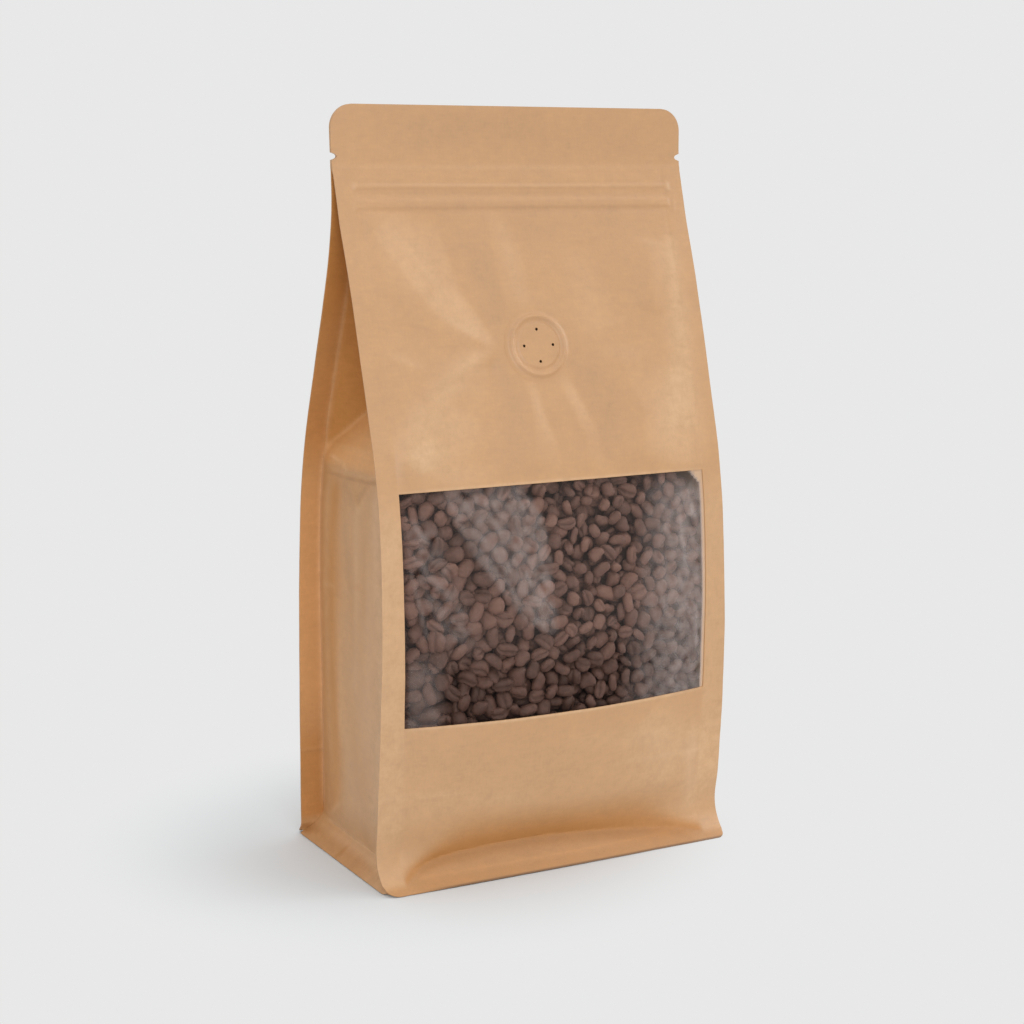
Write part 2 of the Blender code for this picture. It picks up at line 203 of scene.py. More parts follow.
# Painted highlights and painted shade where the front's facets, folds, header, press-close strip and seal
# lines catch or lose the light, and lighter lines along the window's edges: the same, as a share
FRONT_TONES = (
    ((-53, 221), (-38, 199), 10.5, 0.080),
    ((-38, 199), (-22, 184), 7.5, 0.075),
    ((-54, 4.1), (46, 3.9), 0.55, 0.09),
    ((-20, 219), (-14, 187), 4.5, -0.06),
    ((-8, 221), (-3.5, 193), 2.8, 0.05),
    ((-21, 178), (-44, 162), 4.5, 0.09),
    ((-44, 162), (-56, 144), 6.5, 0.10),
    ((-50, 150), (-47, 141), 5.5, 0.10),
    ((-32, 160), (-44, 138), 9.0, 0.08),
    ((-12, 166), (-15, 138), 5.0, -0.06),
    ((-4.2, 168), (-0.5, 147), 1.8, 0.05),
    ((7, 171), (15.5, 155), 2.0, 0.045),
    ((14, 174), (26, 157), 6.0, -0.06),
    ((27, 157), (16, 143), 7.5, -0.06),
    ((59, 216), (57.5, 190), 3.5, 0.11),
    ((57.5, 192), (55.5, 150), 5.0, 0.14),
    ((53, 170), (44, 138), 7.0, 0.10),
    ((57, 152), (54, 137), 6.0, 0.08),
    ((32, 50), (50, 26), 12.0, 0.09),
    ((55.5, 42), (56.5, 10), 3.5, 0.13),
    ((-58, 226.3), (60, 225.2), 1.8, -0.05),
    ((-60, 231.4), (60, 229.8), 0.9, -0.045),
    ((-60, 234.0), (61, 232.6), 0.5, 0.05),
    ((-66, 239.4), (66, 239.2), 0.8, 0.05),
    ((-60.6, 234.4), (-60.6, 232.0), 0.6, 0.10),
    ((61.4, 234.4), (61.4, 231.2), 0.7, 0.14),
    ((-58, 56.0), (58, 56.0), 0.45, 0.25),
    ((-58, 134.9), (58, 134.9), 0.5, 0.14),
    ((-66, 32.5), (-38, 31.2), 0.8, 0.05),
    ((20, 34.5), (66, 32.5), 0.9, 0.05),
    ((-52, 29.5), (-10, 27.5), 3.0, 0.03),
    ((0, 46), (52, 41), 3.5, 0.03),
    ((-10, 216), (54, 219), 5.0, -0.03),
    ((30, 200), (18, 184), 9.0, 0.03),
    ((-56, 172), (-40, 182), 6.0, 0.02),
    ((-40, 251), (14, 254), 7.0, -0.05),
    ((20, 250), (52, 246), 7.0, -0.03),
)
BACK_FOLDS = (
    ((28, 222), (12, 184), 7.0, -0.70),
    ((-6, 222), (-14, 176), 6.5, 0.55),
    ((52, 220), (34, 186), 8.0, 0.45),
    ((-30, 216), (-40, 170), 8.0, -0.45),
    ((14, 178), (48, 146), 6.0, -0.45),
    ((-10, 160), (-36, 128), 7.0, 0.45),
    ((20, 120), (44, 86), 9.0, 0.40),
    ((-48, 150), (-52, 90), 7.0, 0.40),
    ((10, 96), (-20, 60), 12.0, -0.45),
)
BACK_CREASES = (
    ((-60, 34), (-22, 32), 0.9, 0.10),
    ((-10, 33), (58, 31), 0.9, 0.09),
    ((-44, 137), (40, 138.5), 0.9, 0.08),
    ((22, 20), (54, 26), 1.1, 0.08),
)

# The gusset's roof, where its wall turns in over the beans, and the dent below it
ROOF_START = 143.0
ROOF_SLOPE = 0.80
ROOF_ROUNDING = 6.0
DENT_TIP = (-0.10, 125.0)
DENT_CORNERS = (138.0, 139.5)
# Millimetres to a unit across a gusset, where its lines are drawn
GUSSET_REACH = 32
# (place across from -1 at the front seam to 1 at the rear, height), the same, width, relief
GUSSET_CREASES = (
    ((0.84, 135.2), (0.38, 135.2), 0.7, -0.22),
    ((0.38, 135.2), (-0.16, 135.6), 0.7, -0.26),
    ((-0.16, 135.6), (-0.95, 138.0), 0.7, -0.26),
    ((0.85, 140.6), (0.45, 138.8), 0.8, 0.32),
    ((0.45, 138.8), (0.08, 130.6), 1.4, 0.22),
    ((0.08, 130.6), (-0.10, 125.0), 1.4, 0.18),
    ((-0.10, 125.0), (-0.29, 134.0), 1.4, 0.16),
    ((0.94, 137.0), (0.92, 12.0), 1.2, 0.22),
    ((0.92, 93.0), (0.50, 94.6), 0.9, 0.25),
    ((0.20, 96.0), (-0.14, 98.4), 1.0, 0.20),
    ((0.92, 33.5), (0.55, 34.2), 0.8, 0.12),
    ((0.85, 7.5), (0.40, 17.0), 0.9, 0.20),
    ((-0.90, 9.0), (-0.45, 18.0), 0.9, 0.20),
    ((0.10, 11.0), (0.12, 1.0), 0.7, 0.20),
    ((0.62, 118.0), (0.50, 40.0), 5.0, 0.45),
    ((0.20, 112.0), (0.10, 30.0), 5.5, -0.50),
    ((-0.40, 110.0), (-0.35, 50.0), 5.0, 0.40),
    ((-0.70, 80.0), (-0.30, 30.0), 6.0, -0.30),
)
# Painted highlights and painted shade along the gusset's creases, dents, folds and skirt: the same, as a
# share lighter or darker
GUSSET_TONES = (
    ((-0.05, 128.0), (0.05, 60.0), 2.4, 0.08),
    ((-0.45, 130.0), (-0.50, 90.0), 2.4, 0.07),
    ((0.26, 128.0), (0.18, 98.0), 2.2, -0.09),
    ((-0.25, 118.0), (-0.20, 88.0), 2.0, -0.06),
    ((0.45, 92.0), (0.38, 40.0), 2.6, 0.06),
    ((0.80, 130.0), (0.78, 50.0), 2.6, 0.07),
    ((0.84, 134.4), (0.38, 134.4), 0.6, -0.16),
    ((0.38, 134.4), (-0.16, 134.8), 0.6, -0.20),
    ((-0.16, 134.8), (-0.95, 137.2), 0.6, -0.24),
    ((0.85, 140.9), (0.45, 139.2), 0.8, 0.14),
    ((0.45, 139.2), (0.30, 136.0), 0.9, 0.07),
    ((0.36, 133.0), (-0.02, 126.0), 3.4, -0.10),
    ((-0.08, 124.0), (-0.28, 133.0), 1.6, 0.06),
    ((0.74, 132.0), (0.70, 100.0), 2.5, 0.05),
    ((0.10, 120.0), (0.05, 70.0), 3.0, -0.05),
    ((-0.30, 118.0), (-0.30, 40.0), 4.0, 0.05),
    ((-0.55, 134.0), (-0.75, 118.0), 3.5, 0.08),
    ((0.92, 93.6), (0.50, 95.2), 0.8, 0.10),
    ((0.20, 96.6), (-0.14, 99.0), 0.9, -0.08),
    ((0.85, 7.8), (0.40, 17.0), 0.9, 0.07),
    ((0.30, 60.0), (-0.20, 24.0), 6.0, -0.05),
    ((-0.50, 100.0), (-0.60, 60.0), 4.0, 0.06),
    ((-0.80, 90.0), (-0.80, 40.0), 4.0, 0.07),
    ((0.84, 7.0), (-0.84, 6.8), 0.5, 0.12),
    ((0.88, 5.8), (-0.88, 5.4), 0.6, -0.08),
    ((0.14, 5.0), (0.14, 0.6), 0.8, -0.12),
    ((-0.02, 127.5), (-0.22, 133.5), 2.0, -0.12),
    ((-0.70, 22.0), (-0.85, 8.0), 4.0, 0.08),
)


# ---------------------------------------------------------------- shape functions


def curve_through(points):
    """A smooth function that runs through (position, value) pairs and is level beyond them."""
    at, value = np.array(points, dtype=float).T
    slope = np.diff(value) / np.diff(at)
    tangent = np.concatenate([slope[:1], (slope[:-1] + slope[1:]) / 2, slope[-1:]])

    def read(position):
        position = np.clip(position, at[0], at[-1])
        i = np.clip(np.searchsorted(at, position, side="right") - 1, 0, len(at) - 2)
        span = at[i + 1] - at[i]
        t = (position - at[i]) / span
        risen = t * t * (3 - 2 * t)
        start = tangent[i] * span * t * (1 - t) ** 2
        end = tangent[i + 1] * span * t * t * (t - 1)
        return value[i] * (1 - risen) + value[i + 1] * risen + start + end

    return read


front_edge = curve_through(FRONT_EDGE)
back_edge = curve_through(BACK_EDGE)
front_bulge = curve_through(FRONT_BULGE)
back_bulge = curve_through(BACK_BULGE)
edge_pull = curve_through(EDGE_PULL)
valley_height = curve_through(VALLEY)


def mix(a, b, share):
    return a + (b - a) * share


def eased(value, start, end):
    """0 up to start, 1 from end on, and a smooth step between them."""
    t = np.clip((value - start) / (end - start), 0.0, 1.0)
    return t * t * (3 - 2 * t)


def smooth_least(a, b, round_off):
    """The lesser of a and b, rounded where they meet."""
    share = np.clip(0.5 + (b - a) / (2 * round_off), 0.0, 1.0)
    return mix(b, a, share) - round_off * share * (1 - share)


def half_width(z):
    """Half the panels' width: drawn in by the filling, notched, and rounded at the top."""
    width = HALF_WIDTH - edge_pull(z)
    from_notch = np.clip(np.abs(z - NOTCH_HEIGHT) / NOTCH_HALF_HEIGHT, 0, 1)
    width = width - NOTCH_DEPTH * (1 - from_notch**2) ** 0.55
    above = np.clip(z - (HEIGHT - TOP_CORNER_RADIUS), 0, TOP_CORNER_RADIUS)
    return width - TOP_CORNER_RADIUS + np.sqrt(TOP_CORNER_RADIUS**2 - above**2)


def seam_x(z):
    """Where a panel's side seal begins, drawn in with the rounded top corners."""
    narrowed = SEAM_X * half_width(z) / HALF_WIDTH
    return np.where(z > HEIGHT - TOP_CORNER_RADIUS, narrowed, SEAM_X)


def along_line(x, z, start, end, width):
    """1 on a line, falling to 0 across it and towards its two ends."""
    (x1, z1), (x2, z2) = start, end
    run_x = x2 - x1
    run_z = z2 - z1
    share = ((x - x1) * run_x + (z - z1) * run_z) / (run_x**2 + run_z**2)
    inside = np.clip(share, 0.0, 1.0)
    gap = np.hypot(x - x1 - inside * run_x, z - z1 - inside * run_z)
    ends = (4 * inside * (1 - inside)) ** 0.35
    return np.exp(-((gap / width) ** 2)) * mix(0.15, 1.0, ends)


def bent(x, z, creases):
    """Relief that runs straight from each crease to the next, with flat facets between them."""
    at = [np.interp(z, *np.array(line, dtype=float).T) for line, _ in creases]
    level = [rise for _, rise in creases]
    relief = np.full_like(x, level[0])
    for left, right, low, high in zip(at, at[1:], level, level[1:]):
        relief += (high - low) * np.clip((x - left) / (right - left), 0, 1)
    return relief


def folds(x, z, lines):
    """The summed relief of creases and folds."""
    return sum(relief * along_line(x, z, a, b, width) for a, b, width, relief in lines)


def ripples(x, z, shortest, longest, seed, waves=28):
    """A smooth irregular field of about -1 to 1 made of waves of these lengths."""
    rng = np.random.default_rng(seed)
    total = np.zeros_like(x)
    for _ in range(waves):
        length = shortest * (longest / shortest) ** rng.random()
        turn = rng.random() * 2 * math.pi
        phase = rng.random() * 2 * math.pi
        across = x * math.cos(turn) + z * math.sin(turn)
        total += np.sin(2 * math.pi * across / length + phase)
    return total / math.sqrt(waves * 2)


def base_relief(x, z):
    """The valley over the base skirt and the soft fall of the filled panel into it."""
    ends = eased(np.abs(x), 30, 58)
    height = valley_height(x)
    above = np.clip(z - height, 0, None)
    below = np.clip(height - z, 0, None)
    sharp = np.exp(-above / mix(4.5, 1.8, ends)) * np.exp(-((below / mix(2.6, 1.1, ends)) ** 2))
    return -2.5 * (1 - np.clip(np.abs(x / SEAM_X), 0, 1) ** 7) * sharp


def zip_relief(x, z):
    """The press-close strip's ridges, crushed flat at the side seals."""
    inside = 1 - eased(np.abs(x), SEAM_X + 0.6, SEAM_X + 2.2)
    relief = np.zeros_like(x)
    for height, width, rise in ZIP_LINES:
        relief += rise * (1 - eased(np.abs(z - height), width * 0.45, width))
    for height, width, depth in ZIP_SINK:
        relief -= depth * np.exp(-(((z - height) / width) ** 2))
    return relief * inside


def clear_of_valve(x, z):
    """0 on the valve and 1 well away from it."""
    return eased(np.hypot(x, z - VALVE_HEIGHT), VALVE_REACH - 1, VALVE_REACH + 8)


def seal_relief(x, z):
    """The faint steps where the sheets are sealed to each other: side seams and header."""
    sides = -0.10 * np.exp(-(((np.abs(x) - SEAM_X) / 0.6) ** 2)) * (1 - eased(z, 236, 240))
    header = 0.10 * np.exp(-(((z - SEAL_LINE) / 0.7) ** 2))
    lower = 0.05 * np.exp(-(((z - SEAL_LINE + 4.0) / 1.5) ** 2))
    return sides + header + lower


def front_folds(x, z):
    """The front panel's facets and soft folds, calm round the valve and towards the header."""
    upper = bent(x, z, UPPER_CREASES) * eased(z, 176, 186) * (1 - eased(z, 220, 228))
    lower = bent(x, z, LOWER_CREASES) * eased(z, 134.5, 143) * (1 - eased(z, 172, 180))
    sealed = 1 - eased(np.abs(x), SEAM_X - 5, SEAM_X + 2)
    relief = (upper + lower + folds(x, z, FRONT_FOLDS)) * sealed
    return relief * clear_of_valve(x, z)


def front_relief(x, z):
    calm = 1 - eased(z, 232, 238)
    uneven = 0.12 * ripples(x, z, 14, 40, seed=3) * mix(0.4, 1, calm)
    uneven += 0.035 * ripples(x, z, 4, 12, seed=5)
    uneven *= clear_of_valve(x, z)
    relief = front_folds(x, z) + uneven + base_relief(x, z)
    relief += folds(x, z, FRONT_CREASES) + zip_relief(x, z) + seal_relief(x, z)
    return relief


def back_relief(x, z):
    calm = 1 - eased(z, 232, 238)
    relief = folds(x, z, BACK_FOLDS) * calm + base_relief(x, z)
    relief += 0.10 * ripples(x, z, 14, 40, seed=13) * mix(0.4, 1, calm)
    relief += 0.030 * ripples(x, z, 4, 12, seed=15)
    relief += folds(x, z, BACK_CREASES) + zip_relief(x, z) + seal_relief(x, z)
    return relief


def arch(x):
    """A panel's bulge across its width: 1 in the middle, 0 at the side seals."""
    return 1 - np.clip(np.abs(x) / SEAM_X, 0, 1) ** 2


def smooth_front(x, z):
    """The front panel's bulging face without its folds."""
    return front_edge(z) - front_bulge(z) * arch(x)


def panel_surface(x, z, rear=False):
    """The outer face of a panel between its side seals."""
    if rear:
        return back_edge(z) + back_bulge(z) * arch(x) + back_relief(x, z)
    return smooth_front(x, z) - front_relief(x, z)


def skirt_spread(z, across=1.0):
    """How far the pouch has turned out into its skirt: 1 on the floor, 0 above the skirt."""
    corner = np.abs(across) ** 6
    height = mix(SIDE_SKIRT_HEIGHT, SKIRT_HEIGHT, corner)
    return (1 - np.clip(z / height, 0, 1)) ** mix(SIDE_SKIRT_CURVE, SKIRT_CURVE, corner)


def spread_into_corner(x, y, z, edge, corner, turn, straight=0.0):
    """A fin's points moved, below the skirt's height, to the round corner of the base."""
    side = 1 if corner.startswith("back") else -1
    radius, _ = CORNERS[corner]
    corner_x = HALF_WIDTH - radius - straight + radius * np.sin(turn)
    corner_y = edge - side * radius * (1 - np.cos(turn))
    spread = skirt_spread(z)
    return mix(x, corner_x, spread), mix(y, corner_y, spread)


def corner_rise(from_corner, z, corner):
    """How much higher than z a sheet's points start, this far from its rounded lower corner."""
    across, up = SHEET_CORNERS[corner]
    t = np.clip(1 - from_corner / across, 0, 1)
    return up * (1 - np.sqrt(1 - t * t)) * (1 - np.clip(z / 12, 0, 1)) ** 2


def panel_points(across, z, rear=False):
    """Points of a panel's outer face. across runs from -2 to 2, with the fins beyond 1."""
    end = "back " if rear else "front "
    body = np.clip(across, -1, 1)
    share = np.clip(np.abs(across) - 1, 0, 1)
    from_tip = (1 - share) * (HALF_WIDTH - SEAM_X)
    left_rise = corner_rise(from_tip, z, end + "left")
    z = z + np.where(across < 0, left_rise, corner_rise(from_tip, z, end + "right"))
    x = body * seam_x(z)
    fin_x = mix(seam_x(z), half_width(z), share)
    y = panel_surface(np.where(share > 0, np.sign(across) * fin_x, x), z, rear)
    for name, hand in (("left", -1), ("right", 1)):
        radius, wrap = CORNERS[end + name]
        run = max(HALF_WIDTH - radius - SEAM_X, 0.0)
        travelled = share * (run + radius * wrap)
        turn = np.clip(travelled - run, 0, None) / radius
        left_over = np.clip(run - travelled, 0, None)
        here_x, here_y = spread_into_corner(fin_x, y, z, y, end + name, turn, left_over)
        chosen = (share > 0) & (np.sign(across) == hand)
        x = np.where(chosen, hand * here_x, x)
        y = np.where(chosen, here_y, y)
    return np.stack([x, y, z], axis=-1)


def gusset_inward(across, z, half_gap):
    """How far a gusset lies inside the line of its seams."""
    full = np.sqrt(np.clip(GUSSET_HALF_WIDTH**2 - half_gap**2, 0, None))
    fold = full * (1 - np.abs(across))
    bend = np.clip(z - ROOF_START, -ROOF_ROUNDING, None)
    roof = ROOF_SLOPE * np.where(bend > 2, bend, (bend + ROOF_ROUNDING) ** 2 / 32)
    inward = smooth_least(fold, roof, 1.2)
    tip_at, tip_z = DENT_TIP
    front_z, rear_z = DENT_CORNERS
    to_front = mix(tip_z, front_z, np.clip((tip_at - across) / (tip_at + 1), 0, 1))
    to_rear = mix(tip_z, rear_z, np.clip((across - tip_at) / (1 - tip_at), 0, 1))
    over_dent = np.clip(z - np.where(across < tip_at, to_front, to_rear), 0, None)
    dent = 0.13 * over_dent * (1 - eased(z, ROOF_START - 3, ROOF_START + 9))
    return np.clip(inward, 0, None) + dent


def gusset_folds(across, z, lines):
    """The summed relief of lines drawn across a gusset, between -1 and 1."""
    return folds(across * GUSSET_REACH, z, [
        ((a * GUSSET_REACH, a_z), (b * GUSSET_REACH, b_z), width, rise)
        for (a, a_z), (b, b_z), width, rise in lines
    ])


def gusset_points(across, z, name):
    """Points of a gusset's outer face on the right-hand side. across runs from -2, the front
    fin's tip, through -1 and 1, the seams, to 2, the rear fin's tip."""
    body = np.clip(across, -1, 1)
    share = np.clip(np.abs(across) - 1, 0, 1)
    front_rise = corner_rise((1 + body) * 39, z, "front " + name)
    z = z + np.maximum(front_rise, corner_rise((1 - body) * 39, z, "back " + name))
    front_y = front_edge(z) + FIN_THICKNESS
    rear_y = back_edge(z) - FIN_THICKNESS
    half_gap = (rear_y - front_y) / 2
    bow = 1.6 * eased(z, 0, 20) * (1 - eased(z, 118, 146)) * (1 - body**2)
    seed = 23 if name == "left" else 29
    run = body * GUSSET_REACH
    relief = gusset_folds(body, z, GUSSET_CREASES)
    relief += 0.14 * ripples(run, z, 12, 36, seed) + 0.03 * ripples(run, z, 4, 10, seed + 1)
    relief *= (1 - np.abs(body) ** 8) * eased(z, 0, 6)
    x = seam_x(z) + bow + relief - gusset_inward(body, z, half_gap)
    x = np.where(share > 0, mix(seam_x(z), half_width(z), share), x)
    y = front_y + half_gap * (1 + body)
    corner_y = []
    for rear, hand in ((False, -1), (True, 1)):
        corner = ("back " if rear else "front ") + name
        radius, wrap = CORNERS[corner]
        edge = (back_edge if rear else front_edge)(z)
        turn = mix(math.pi / 2, wrap, share)
        here_x, here_y = spread_into_corner(x, y, z, edge, corner, turn)
        chosen = (np.sign(across) == hand) & (np.abs(across) >= 1)
        x = np.where(chosen, here_x, x)
        y = np.where(chosen, here_y, y)
        corner_y.append(edge - hand * radius)
    spread = skirt_spread(z, body)
    floor_y = mix(corner_y[0], corner_y[1], (1 + body) / 2)
    between = np.abs(across) < 1
    x = np.where(between, mix(x, HALF_WIDTH, spread), x)
    y = np.where(between, mix(y, floor_y, spread), y)
    return np.stack([x, y, z], axis=-1)


# ---------------------------------------------------------------- painted light and shade on the paper


def painted_light(shade, deep):
    """A tone, a sheen and a depth of colour, all painted light and shade, from a signed shade and a depth."""
    return np.stack([np.minimum(shade, 0), np.maximum(shade, 0), np.clip(deep, 0, 1)], axis=-1)


def facet_shade(relief, x, z):
    """Painted light and shade: how much lighter the facets turned to the right and upwards, towards the
    lamps, look than flat paper.
    """
    step = 0.8
    rightward = (relief(x - step, z) - relief(x + step, z)) / (2 * step)
    upward = (relief(x, z - step) - relief(x, z + step)) / (2 * step)
    return 0.26 * rightward + 0.20 * upward


def skirt_painted_shade(x, z):
    """Painted shade: the darker, deeper colour of the valley above the skirt, where the bulge overhangs it,
    and of the skirt below it, with a painted shadow along the sheets' lowest edge.
    """
    rise = z - valley_height(x)
    ends = eased(np.abs(x), 32, 57)
    valley = np.exp(-((rise / np.where(rise > 0, mix(8.0, 2.2, ends), mix(2.5, 1.0, ends))) ** 2))
    valley *= 1 - eased(np.abs(x), 58.4, 60.0)
    skirt = (1 - eased(rise, -1.6, 0.4)) * (1 - 0.25 * eased(np.abs(x), 50, 59))
    # Painted shadow: a dark line along the lowest edge, where the sheet meets the floor
    painted_edge_shadow = (1 - eased(z, LIFT + 0.2, LIFT + 0.6)) * eased(x, -58, -40)
    return -0.12 * valley - 0.15 * skirt - 0.5 * painted_edge_shadow, np.maximum(0.64 * valley, 0.42 * skirt)


# Painted light on the front panel: painted shade in the valley and the skirt, painted light on the facets and
# along the tone lines, painted lighter fins and lower body, and a deeper colour on the low right fin
def front_painted_light(x, y, z):
    skirt_shade, deep = skirt_painted_shade(x, z)
    fins = eased(np.abs(x), SEAM_X - 0.6, SEAM_X + 0.2) * (1 - eased(z, 120, 140)) * eased(z, 8, 22)
    shade = skirt_shade + facet_shade(front_folds, x, z) + folds(x, z, FRONT_TONES)
    low = 1 - eased(z, 30, 60)
    shade += fins * np.where(x > 0, 0.08 + 0.08 * low, 0.11 - 0.04 * low) + 0.04 * low
    return painted_light(shade, deep + 0.16 * fins * low * (x > 0))


# Painted light on the back panel: painted shade in the valley and the skirt and painted light on the facets
# of its folds
def back_painted_light(x, y, z):
    skirt_shade, deep = skirt_painted_shade(x, z)
    shade = skirt_shade + facet_shade(lambda a, b: 1.6 * folds(a, b, BACK_FOLDS), x, z)
    return painted_light(shade, deep)


# Painted light on the gussets: painted shade and a deeper colour where the wall is tucked in under the roof,
# in the skirt and on the rear fin; a lighter roof; painted sheen on the front half of the wall and along the
# rear seam; a deeper colour down the middle of the wall where that sheen is missing
def gusset_painted_light(x, y, z):
    front = front_edge(z)
    rear = back_edge(z)
    across = np.clip(2 * (y - front) / np.maximum(rear - front, 0.5) - 1, -1, 1)
    rear_fin = eased(across, 0.945, 0.97) * eased(z, 4, 9)
    front_fin = eased(-across, 0.945, 0.97)
    inside = (1 - rear_fin) * (1 - front_fin)
    half_gap = (rear - front) / 2 - FIN_THICKNESS
    full = np.sqrt(np.clip(GUSSET_HALF_WIDTH**2 - half_gap**2, 0, None))
    over_fold = ROOF_SLOPE * (z - ROOF_START) - full * (1 - np.abs(across))
    tucked = eased(over_fold, -1.0, 1.2)
    roof = eased(z, 136, 140) * (1 - tucked)
    skirt = 1 - eased(z, 2.5, 5.5)
    # A band of deeper colour down the wall's middle, between the painted sheens
    orange = np.exp(-(((across - 0.55) / 0.17) ** 2)) * (1 - eased(z, 128, 136)) * eased(z, 8, 20)
    low_wall = (1 - eased(z, 40, 100)) * (1 - tucked)
    deep = inside * (0.76 * tucked + 0.16 * roof + 0.55 * orange + 0.06 * low_wall) + 0.60 * skirt
    # Painted sheen on the wall's front half
    nearer = (1 - eased(across, -0.75, -0.2)) * (1 - tucked)
    deep += inside * (0.20 - 0.12 * nearer - 0.12 * low_wall)
    # Painted highlight: a light line along the rear seam
    seam = np.exp(-(((np.abs(x) - SEAM_X) / 0.8) ** 2)) * eased(across, 0.90, 0.96) * eased(z, 8, 16)
    seam *= 1 - 0.6 * eased(z, 134, 146)
    deep *= 1 - 0.6 * seam
    deep += rear_fin * mix(0.28, 0.64, np.maximum(eased(z, 130, 150), 1 - eased(z, 30, 45)))
    shade = gusset_folds(across, z, GUSSET_TONES) * (1 - tucked)
    shade += inside * (0.11 * nearer + 0.02 + 0.06 * low_wall)
    shade += 0.24 * seam + 0.09 * rear_fin * np.exp(-(((z - 32.4) / 0.6) ** 2))
    # Painted lighter and darker value: the roof lighter, the tucked wall and the skirt darker, the rear fin
    # lighter with a dark line at its crease
    brown = inside * (0.27 * roof - 0.01 * tucked) - 0.14 * skirt
    brown += rear_fin * (0.20 * eased(z, 34, 60) * (1 - eased(z, 120, 150)) + 0.03)
    brown -= 0.14 * rear_fin * np.exp(-(((z - 31.2) / 0.6) ** 2))
    made = painted_light(shade, deep)
    made[..., 0] += brown
    return made


# ---------------------------------------------------------------- meshes


def grid_normals(points, towards):
    """Unit normals of a grid of points, on the side that the vector towards points to."""
    along = np.gradient(points, axis=0)
    across = np.gradient(points, axis=1)
    normal = np.cross(along, across)
    normal /= np.maximum(np.linalg.norm(normal, axis=-1, keepdims=True), 1e-9)
    turned = np.sign((normal * np.array(towards)).sum(axis=-1).mean())
    return normal * (turned or 1)


def closed_sheet(name, outer, inner, kept=None, wrapped=False):
    """A thin closed sheet between two grids of points, walled round its edge and its openings."""
    rows, columns = outer.shape[:2]
    if kept is None:
        kept = np.ones((rows - 1, columns - 1), dtype=bool)
    index = np.arange(rows * columns).reshape(rows, columns)
    if wrapped:
        index[:, -1] = index[:, 0]
    corner = np.stack([index[:-1, :-1], index[:-1, 1:], index[1:, 1:], index[1:, :-1]], axis=-1)
    quads = corner[kept]
    count = rows * columns
    faces = [quads, quads[:, ::-1] + count]
    sides = np.concatenate([quads[:, [k, (k + 1) % 4]] for k in range(4)])
    keys = sides[:, 0] * count + sides[:, 1]
    opposite = sides[:, 1] * count + sides[:, 0]
    lone = sides[~np.isin(keys, opposite)]
    walls = np.stack([lone[:, 1], lone[:, 0], lone[:, 0] + count, lone[:, 1] + count], axis=-1)
    faces = np.concatenate([*faces, walls])
    used, faces = np.unique(faces, return_inverse=True)
    points = np.concatenate([outer.reshape(-1, 3), inner.reshape(-1, 3)])[used]
    return solid_mesh(name, points, faces.reshape(-1, 4))


def clean_mesh(mesh, sharp=None, merged=False):
    """Turns a mesh's faces outwards and smooths them, its coinciding points merged if asked."""
    bm = bmesh.new()
    bm.from_mesh(mesh)
    if merged:
        bmesh.ops.remove_doubles(bm, verts=bm.verts, dist=1e-6)
        loose = [edge for edge in bm.edges if not edge.link_faces]
        bmesh.ops.delete(bm, geom=loose, context="EDGES")
    bmesh.ops.recalc_face_normals(bm, faces=bm.faces)
    bm.to_mesh(mesh)
    bm.free()
    mesh.shade_smooth()
    if sharp is not None:
        mesh.set_sharp_from_angle(angle=math.radians(sharp))


def solid_mesh(name, points, faces, sharp=35):
    """An object from points in millimetres and faces, closed up, facing outwards and smooth."""
    mesh = bpy.data.meshes.new(name)
    mesh.from_pydata((points * MM).tolist(), [], faces.tolist())
    clean_mesh(mesh, sharp, merged=True)
    return new_object(name, mesh)


def new_object(name, mesh):
    old = bpy.data.objects.get(name)
    if old is not None:
        bpy.data.objects.remove(old)
    made = bpy.data.objects.new(name, mesh)
    bpy.context.scene.collection.objects.link(made)
    return made


def places_of(mesh):
    """The x, y and z of every point of a mesh, in metres, as three rows."""
    places = np.empty(len(mesh.vertices) * 3, dtype=np.float32)
    mesh.vertices.foreach_get("co", places)
    return places.reshape(-1, 3).T


def add_attribute(target, name, read):
    """Stores read(x, y, z), in millimetres, at every point of a mesh, as numbers or vectors."""
    mesh = target.data
    x, y, z = places_of(mesh) / MM
    values = np.asarray(read(x, y, z), dtype=np.float32)
    kind, member = ("FLOAT", "value") if values.ndim == 1 else ("FLOAT_VECTOR", "vector")
    mesh.attributes.new(name, kind, "POINT").data.foreach_set(member, values.reshape(-1))


def spaced(*stops):
    """Numbers from stop to stop, each pair (stop, step) giving the spacing up to the next."""
    values = []
    for (start, step), (end, _) in zip(stops, stops[1:]):
        count = max(round((end - start) / step), 1)
        values.extend(np.linspace(start, end, count, endpoint=False))
    return np.array([*values, stops[-1][0]])


def panel_heights():
    return spaced(
        (LIFT, 0.2), (1, 0.6), (16, 1.1), (55, 0.35), (WINDOW_BOTTOM, 1.15), (WINDOW_TOP, 0.35),
        (136, 1.1), (223, 0.4), (236, 0.7), (241.5, 0.25), (244.5, 1.0), (252, 0.5), (258, 0.25), (HEIGHT, 1),
    )


def panel_columns(body_step=1.15):
    window = WINDOW_HALF_WIDTH / SEAM_X
    fin = 1 + np.linspace(0, 1, 13)[1:]
    count = round(2 * WINDOW_HALF_WIDTH / body_step)
    middle = np.linspace(-window, window, count + 1)
    return np.concatenate([-fin[::-1], [-1], middle, [1], fin])


def header_filled(inner, rear):
    """The inner face carried to the middle plane where the layers are sealed together."""
    filled = inner.copy()
    middle = 0.01 if rear else -0.01
    filled[..., 1] = mix(inner[..., 1], middle, eased(inner[..., 2], 236.5, 240.5))
    return filled


